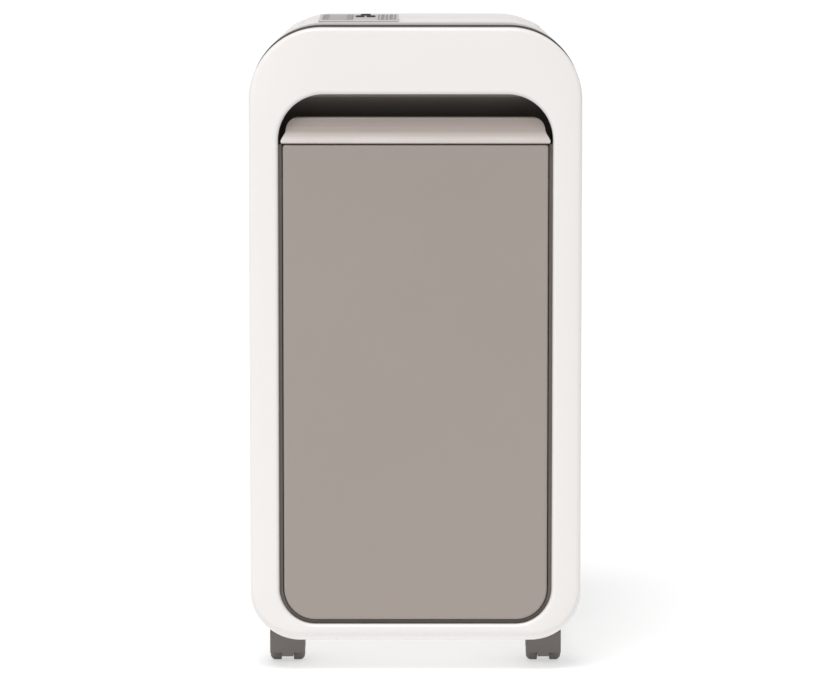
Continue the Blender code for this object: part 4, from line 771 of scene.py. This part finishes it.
def console():
    """The sloping console with its display window, printed panel and indicator lamp."""
    low, high = CONSOLE_LOW, CONSOLE_HIGH
    section = [(low.y, low.z), (high.y, low.z), (high.y, console_z(high.y)), (low.y, console_z(low.y))]
    panel = slab("console_shell", section, "X", low.x, high.x)
    soften(panel, 1.1 * MM, 3, 50)
    gap, corner = 0.3 * MM, 2 * MM
    window = rounded(LENS_LOW.x, LENS_HIGH.x, LENS_LOW.y, LENS_HIGH.y, corner, steps=6)
    pocket = rounded(LENS_LOW.x - gap, LENS_HIGH.x + gap, LENS_LOW.y - gap, LENS_HIGH.y + gap, corner + gap,
                     steps=6)
    cut(panel, tile("console_pocket", pocket, -1.3 * MM, PAST))
    for name in BUTTONS:
        box_low, box_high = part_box(name)
        middle = (box_low + box_high) / 2
        hole = circle((middle.x, middle.y), (box_high.x - box_low.x) / 2 + 0.4 * MM)
        cut(panel, slab(f"{name}_hole", hole, "Z", DECK_Z - PAST, DECK_Z + 3 * PAST))
    dress(panel, CONSOLE_GREY, "cabinet", "shell_white", "control_panel")
    glass = tile("console_window", window, -1 * MM, 0.2 * MM)
    soften(glass, 0.3 * MM, 2)
    dress(glass, WINDOW, "cabinet", "smoked_lens", "display_lens")

    def row_y(k, count):
        return LENS_LOW.y + (k + 0.5) * (LENS_HIGH.y - LENS_LOW.y) / count

    middle_x = (LENS_LOW.x + LENS_HIGH.x) / 2
    level_count, sign_rows = 5, 6
    for k in range(level_count):
        level = oblong(middle_x, row_y(k, level_count), 9 * MM, 4 * MM, 1.5 * MM, 4)
        mark = tile(f"level_mark_{k}", level, 0.1 * MM, 0.35 * MM)
        dress(mark, ICON_GREY, "cabinet", "button_grey")
    plate_low_x, plate_high_x = high.x - 21 * MM, high.x - 2.5 * MM
    plate_outline = rounded(plate_low_x, plate_high_x, LENS_LOW.y, LENS_HIGH.y, corner, steps=6)
    plate = tile("printed_panel", plate_outline, -0.5 * MM, 0.12 * MM)
    dress(plate, PRINT_GREY, "cabinet", "button_grey")
    for k in range(sign_rows):
        y = row_y(k, sign_rows)
        for side, x in (("left", plate_low_x + 5 * MM), ("right", plate_high_x - 5 * MM)):
            sign = tile(f"sign_{side}_{k}", oblong(x, y, 3.4 * MM, 5 * MM, 1.2 * MM, 4), 0 * MM, 0.26 * MM)
            dress(sign, LABEL, "cabinet", "button_grey")
            dot = tile(f"sign_dot_{side}_{k}", circle((x, y), 1.9 * MM, 20), 0.1 * MM, 0.38 * MM)
            dress(dot, KEY_DARK, "cabinet", "button_grey")
    power_low, power_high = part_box("power_button")
    beside_power = ((power_low.x + power_high.x) / 2, power_high.y + 6 * MM)
    lamp = tile("indicator_lamp", circle(beside_power, 1.6 * MM, 24), -0.5 * MM, 0.5 * MM)
    soften(lamp, 0.4 * MM, 3)
    dress(lamp, GREEN_LAMP, "cabinet", "smoked_lens")


def push_buttons():
    """Three round keys with dished tops and a raised sign on each."""
    dished, plunger_r = 0.5 * MM, 2 * MM
    for name in BUTTONS:
        low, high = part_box(name)
        x, y = (low.x + high.x) / 2, (low.y + high.y) / 2
        radius, top = (high.x - low.x) / 2, high.z
        profile = [(radius * share, top - dished * (1 - share**2)) for share in (0, 0.2, 0.4, 0.6, 0.75)]
        profile += [(radius - 0.6 * MM, top), (radius - 0.2 * MM, top - 0.2 * MM), (radius, top - 0.6 * MM),
                    (radius, DECK_Z), (plunger_r, DECK_Z), (plunger_r, low.z), (0, low.z)]
        key = lathe(f"{name}_key", profile, "Z", (x, y, 0), 48)
        dress(key, KEY_DARK, name, "button_grey", name)
        foot, head = top - 0.7 * MM, top - 0.15 * MM
        size = radius * 0.42
        if name == "power_button":
            ring = arc((x, y), size, -225, 45, 24) + arc((x, y), size * 0.7, 45, -225, 24)
            sign = slab(f"{name}_ring", ring, "Z", foot, head)
            stroke = rounded(x - size * 0.15, x + size * 0.15, y, y + size * 1.1, size * 0.1, steps=3)
            bar = slab(f"{name}_bar", stroke, "Z", foot, head)
            dress(bar, ICON_GREY, name, "button_grey")
        else:
            ahead = size if name == "forward_button" else -size
            arrow = [(x - size * 0.9, y - ahead * 0.6), (x + size * 0.9, y - ahead * 0.6), (x, y + ahead)]
            sign = slab(f"{name}_arrow", arrow, "Z", foot, head)
        dress(sign, ICON_GREY, name, "button_grey")


# ---- Back fittings -------------------------------------------------------------------------------
def mains_switch():
    """The rocker switch: a flanged housing with a well, and the rocker in it."""
    low, high = SWITCH_LOW, SWITCH_HIGH
    x, z = (low.x + high.x) / 2, (low.z + high.z) / 2
    half_w, half_h, wall, gap = 9.7 * MM, 13.7 * MM, 1.5 * MM, 0.7 * MM
    housing = slab("switch_body", oblong(x, z, half_w, half_h, 0.8 * MM, 4), "Y", low.y, high.y)
    flange = slab("switch_rim", rounded(low.x, high.x, low.z, high.z, 1.5 * MM, steps=6), "Y",
                  BACK_FACE_Y + 0.3 * MM, high.y)
    cut(housing, flange, operation="UNION")
    well_w, well_h = half_w - wall, half_h - wall
    cut(housing, slab("switch_well", oblong(x, z, well_w, well_h, 0.6 * MM, 4), "Y",
                      low.y + 4 * MM, REAR_Y + PAST))
    soften(housing, 0.3 * MM, 2)
    dress(housing, DARK_TRIM, "cabinet", "dark_plastic", "switch_housing")
    axis = Vector(frame_joint("rocker_tilt")["pos_m"])
    reach, across = well_h - gap, well_w - gap
    # The cap's section is drawn about its axis, as (out of the back, up).
    key_top = arc((-14 * MM, 0), 19.8 * MM, -35.5, 35.5, 16)
    section = [(-7 * MM, -4 * MM), (0, -reach)] + key_top + [(0, reach), (-7 * MM, 4 * MM)]
    rocker = slab("rocker_cap", section, "X", -across, across)
    soften(rocker, 0.4 * MM, 3, 30)
    rest_tilt, flank_tilt = -6, 17
    rocker.matrix_world = Matrix.Translation(axis) @ Matrix.Rotation(radians(rest_tilt), 4, "X")
    dress(rocker, KEY_DARK, "rocker", "button_grey", "power_rocker")
    from_axis = 6 * MM
    marks = (("rocker_dash", from_axis, oblong(0, 0, 2.4 * MM, 0.4 * MM, 0.3 * MM, 3)),
             ("rocker_ring", -from_axis, circle((0, 0), 1.9 * MM, 24)))
    for name, height, outline in marks:
        mark = slab(name, outline, "Z", 0, 0.25 * MM)
        place = axis + Vector((0, 4.75 * MM - abs(height) * 0.06, height))
        tilt = radians(rest_tilt - flank_tilt * height / from_axis)
        mark.matrix_world = (Matrix.Translation(place) @ Matrix.Rotation(tilt, 4, "X")
                             @ Matrix.Rotation(radians(-90), 4, "X"))
        dress(mark, ICON_GREY, "rocker", "button_grey")


def cord_bush():
    """The flanged bush for the mains lead, with a rounded edge to its flange."""
    low, high = GLAND_LOW, GLAND_HIGH
    centre = Vector(((low.x + high.x) / 2, 0, (low.z + high.z) / 2))
    bore, body, flange = 3.6 * MM, 6 * MM, (high.x - low.x) / 2
    seat = BACK_FACE_Y + 0.3 * MM
    # Heights on Y run towards the front.
    profile = [(bore, -high.y), (bore + 1.2 * MM, -high.y), (bore + 1.6 * MM, -high.y + 0.5 * MM),
               (flange - 1.4 * MM, -high.y + 0.7 * MM), (flange - 0.4 * MM, -high.y + 1.1 * MM),
               (flange, -high.y + 1.8 * MM), (flange, -seat), (body, -seat), (body, -low.y), (bore, -low.y)]
    bush = lathe("cord_bush", profile[::-1], "Y", centre, 56, closed=True)
    dress(bush, DARK_TRIM, "cabinet", "dark_plastic", "cord_gland")


def screw(name, x, z):
    """A cross-head screw in the back."""
    radius, head, root = 3.6 * MM, BACK_FACE_Y + 0.9 * MM, BACK_FACE_Y - 2 * MM
    profile = [(0, -head), (radius * 0.6, -head + 0.1 * MM), (radius * 0.9, -head + 0.45 * MM),
               (radius, -head + 0.8 * MM), (radius, -root), (0, -root)]
    made = lathe(name, profile, "Y", (x, 0, z), 40)
    arm, reach, corner = 0.45 * MM, 2.1 * MM, 0.2 * MM
    slot = (head - 0.8 * MM, head + 1 * MM)
    cut(made, slab(f"{name}_slot_a", oblong(x, z, arm, reach, corner, 3), "Y", *slot),
        slab(f"{name}_slot_b", oblong(x, z, reach, arm, corner, 3), "Y", *slot))
    dress(made, ZINC, "cabinet", "steel")


def back_details():
    """The screws and the rating plate on the back."""
    # Screw places across and up, in millimetres.
    places = [(side, z) for z in (66, 482, 516) for side in (-150, 150)] + [(-95, 622), (95, 622)]
    for number, (x, z) in enumerate(places):
        screw(f"back_screw_{number}", x * MM, z * MM)
    plate = slab("rating_plate", rounded(-40 * MM, 40 * MM, 440 * MM, 484 * MM, 2.5 * MM, steps=6), "Y",
                 BACK_FACE_Y - 0.2 * MM, BACK_FACE_Y + 0.35 * MM)
    soften(plate, 0.15 * MM, 2)
    dress(plate, LABEL, "cabinet", "zinc_plate")
    margin, first_z, spacing, half_h = 34, 478, 7, 1
    for number, length in enumerate((60, 66, 48, 66, 30)):
        z = first_z - number * spacing
        line = rounded(-margin * MM, (length - margin) * MM, (z - half_h) * MM, (z + half_h) * MM, 0.4 * MM,
                       steps=3)
        bar = slab(f"plate_line_{number}", line, "Y", BACK_FACE_Y, BACK_FACE_Y + 0.45 * MM)
        dress(bar, PRINT_GREY, "cabinet", "button_grey")


# ---- Casters -------------------------------------------------------------------------------------
def casters():
    """The four twin-wheel casters, each with a hood and two wheels."""
    for place in PLACES:
        axle = Vector(frame_joint(f"roll_{place}")["pos_m"])
        hood(place, axle)
        for end, side in (("left", -1), ("right", 1)):
            wheel(place, end, side, axle)


def hood(place, axle):
    """A caster's hood with its middle web and wheel pockets, and the stem it swivels on."""
    low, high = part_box(f"caster_hood_{place}")
    x, y = stem_of(place)
    top, front = TRAY_LOW.z - 1.6 * MM, low.y
    section = arc((axle.y, axle.z), top - axle.z, -20, 90, 24)
    section += arc((front + 5 * MM, top - 6 * MM), 6 * MM, 100, 165, 6)
    section += [(front, 14 * MM), (front + 0.3 * MM, 9 * MM)]
    section += arc((front + 2.5 * MM, 8 * MM), 2.2 * MM, 190, 265, 4)
    section += [(axle.y - 9 * MM, 5.6 * MM), (axle.y, 7.5 * MM), (axle.y + 9 * MM, 9 * MM)]
    piece = slab(f"hood_{place}", section, "X", low.x, high.x)
    soften(piece, 2.6 * MM, 4, 55)
    web_half, wall_top = 6 * MM, 10 * MM
    pocket = circle((axle.y, axle.z), 17 * MM, 64)
    wall = [(front - PAST, -PAST), (axle.y, -PAST), (axle.y, wall_top), (front - PAST, wall_top)]
    left, right = (low.x - PAST, x - web_half), (x + web_half, high.x + PAST)
    cut(piece,
        slab(f"pocket_left_{place}", pocket, "X", *left), slab(f"pocket_right_{place}", pocket, "X", *right),
        slab(f"wall_left_{place}", wall, "X", *left), slab(f"wall_right_{place}", wall, "X", *right))
    dress(piece, CASTER_GREY, f"caster_{place}", "caster_plastic", f"caster_hood_{place}")
    stem_r, collar_r, collar_top, collar_foot = 4 * MM, 8 * MM, TRAY_LOW.z - 0.2 * MM, top - 1 * MM
    profile = [(0, high.z), (stem_r - 1 * MM, high.z), (stem_r, high.z - 1 * MM), (stem_r, collar_top),
               (collar_r, collar_top), (collar_r, collar_foot), (0, collar_foot)]
    stem = lathe(f"stem_{place}", profile, "Z", (x, y, 0), 48)
    dress(stem, ZINC, f"caster_{place}", "steel")


def wheel(place, end, side, axle):
    """One wheel of a caster, dished on its outer side."""
    node = f"wheel_{end}_{place}"
    low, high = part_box(node)
    inner, bore, full = 6.3 * MM, 2.9 * MM, 16 * MM
    outer = inner + (high.x - low.x)
    # The dish and the rounded shoulder: radius, and distance in from the outer side, in millimetres.
    face = ((7.5, 2.2), (8, 1.2), (9.5, 0.2), (11, 0), (13, 0.5), (14.6, 1.8), (15.6, 3.2))
    section = [(bore, outer - 2.2 * MM)] + [(r * MM, outer - inwards * MM) for r, inwards in face]
    section += [(full, outer - 4.8 * MM), (full, inner + 0.6 * MM), (full - 0.6 * MM, inner), (bore, inner)]
    if side < 0:
        section = [(r, -h) for r, h in section[::-1]]
    piece = lathe(f"tyre_{end}_{place}", section, "X", axle, 72, closed=True)
    dress(piece, TREAD_GREY, f"wheels_{place}", "caster_plastic", node)


# ---- Scene ---------------------------------------------------------------------------------------
def paint(node, material):
    """Gives a carried-over CAD node one material."""
    mesh = frame["nodes"][node].data
    mesh.materials.clear()
    mesh.materials.append(material)


def paint_inner_nodes():
    """Carried-over CAD nodes keep their shapes and take these finishes."""
    finishes = {
        "steel": STEEL, "zinc_plate": ZINC, "nylon": NYLON, "motor_black": BLACK_PAINT, "board_green": BOARD,
        "smoked_lens": WINDOW, "dark_plastic": DARK_TRIM, "button_grey": KEY_DARK,
        "caster_plastic": CASTER_GREY, "gloss_white": BEZEL_WHITE, "shell_white": SHELL_WHITE,
        "bin_taupe": BIN_TAUPE, "tub_grey": TUB_GREY,
    }
    for entry in frame["record"]["subparts"]:
        paint(entry["node"], finishes[entry["material_slot"]])


def floor():
    """A pale floor that gives off some light, so that the ground stays white."""
    shape = bmesh.new()
    bmesh.ops.create_grid(shape, x_segments=1, y_segments=1, size=14)
    ground = new_piece("floor", mesh_from("floor", shape))
    made, nodes, links, shader = shader_of("floor_pale", 0.6)
    shader.inputs["Emission Color"].default_value = (1, 1, 1, 1)
    shader.inputs["Emission Strength"].default_value = 0.53
    links.new(ramp(nodes, links, noise(nodes, links, 2.0), (0.49, 0.49, 0.49), (0.51, 0.51, 0.51)),
              shader.inputs["Base Color"])
    ground.data.materials.append(made)


def area_light(name, location, target, width, length, power):
    """A rectangular light aimed at a target."""
    light = bpy.data.lights.new(name, "AREA")
    light.shape = "RECTANGLE"
    light.size = width
    light.size_y = length
    light.energy = power
    lamp = bpy.data.objects.new(name, light)
    bpy.context.scene.collection.objects.link(lamp)
    lamp.location = location
    lamp.rotation_euler = (Vector(target) - Vector(location)).to_track_quat("-Z", "Y").to_euler()


def studio():
    """A white surround, a broad light from above and in front, and a soft key from the left."""
    as_light, to_camera = 0.47, 1.05
    world = bpy.data.worlds.new("studio")
    bpy.context.scene.world = world
    world.use_nodes = True
    nodes, links = world.node_tree.nodes, world.node_tree.links
    background = nodes["Background"]
    background.inputs["Color"].default_value = (1, 1, 1, 1)
    seen = nodes.new("ShaderNodeMapRange")
    seen.inputs["To Min"].default_value = as_light
    seen.inputs["To Max"].default_value = to_camera
    links.new(nodes.new("ShaderNodeLightPath").outputs["Is Camera Ray"], seen.inputs["Value"])
    links.new(seen.outputs["Result"], background.inputs["Strength"])
    sun = bpy.data.lights.new("overhead", "SUN")
    sun.energy = 2.0
    sun.angle = radians(26)
    lamp = bpy.data.objects.new("overhead", sun)
    bpy.context.scene.collection.objects.link(lamp)
    lamp.rotation_euler = Vector((0.12, 0.42, -1)).to_track_quat("-Z", "Y").to_euler()
    area_light("key", location=(-2.4, -1.8, 1.9), target=(0, -0.1, 0.4), width=0.9, length=1.8, power=9)
    bpy.context.scene.view_settings.view_transform = "Standard"


def camera():
    """Stands in front, a little above the top, and looks at the middle of the machine."""
    distance, height, off_middle, aim_down = 4, 0.757, -0.0015, 5.985
    view = bpy.data.cameras.new("view")
    view.lens = 176.3
    view.sensor_width = 36
    eye = bpy.data.objects.new("view", view)
    bpy.context.scene.collection.objects.link(eye)
    eye.location = (off_middle, FRONT_Y - distance, height)
    eye.rotation_euler = (radians(90 - aim_down), 0, 0)
    bpy.context.scene.camera = eye


camera()
floor()
studio()
paint_inner_nodes()
bezel()
dark_frame()
top_shell()
base_shell()
side_shells()
back_shells()
bin_front()
bin_tub()
finger_scoop()
paper_entry()
console()
push_buttons()
mains_switch()
cord_bush()
back_details()
casters()
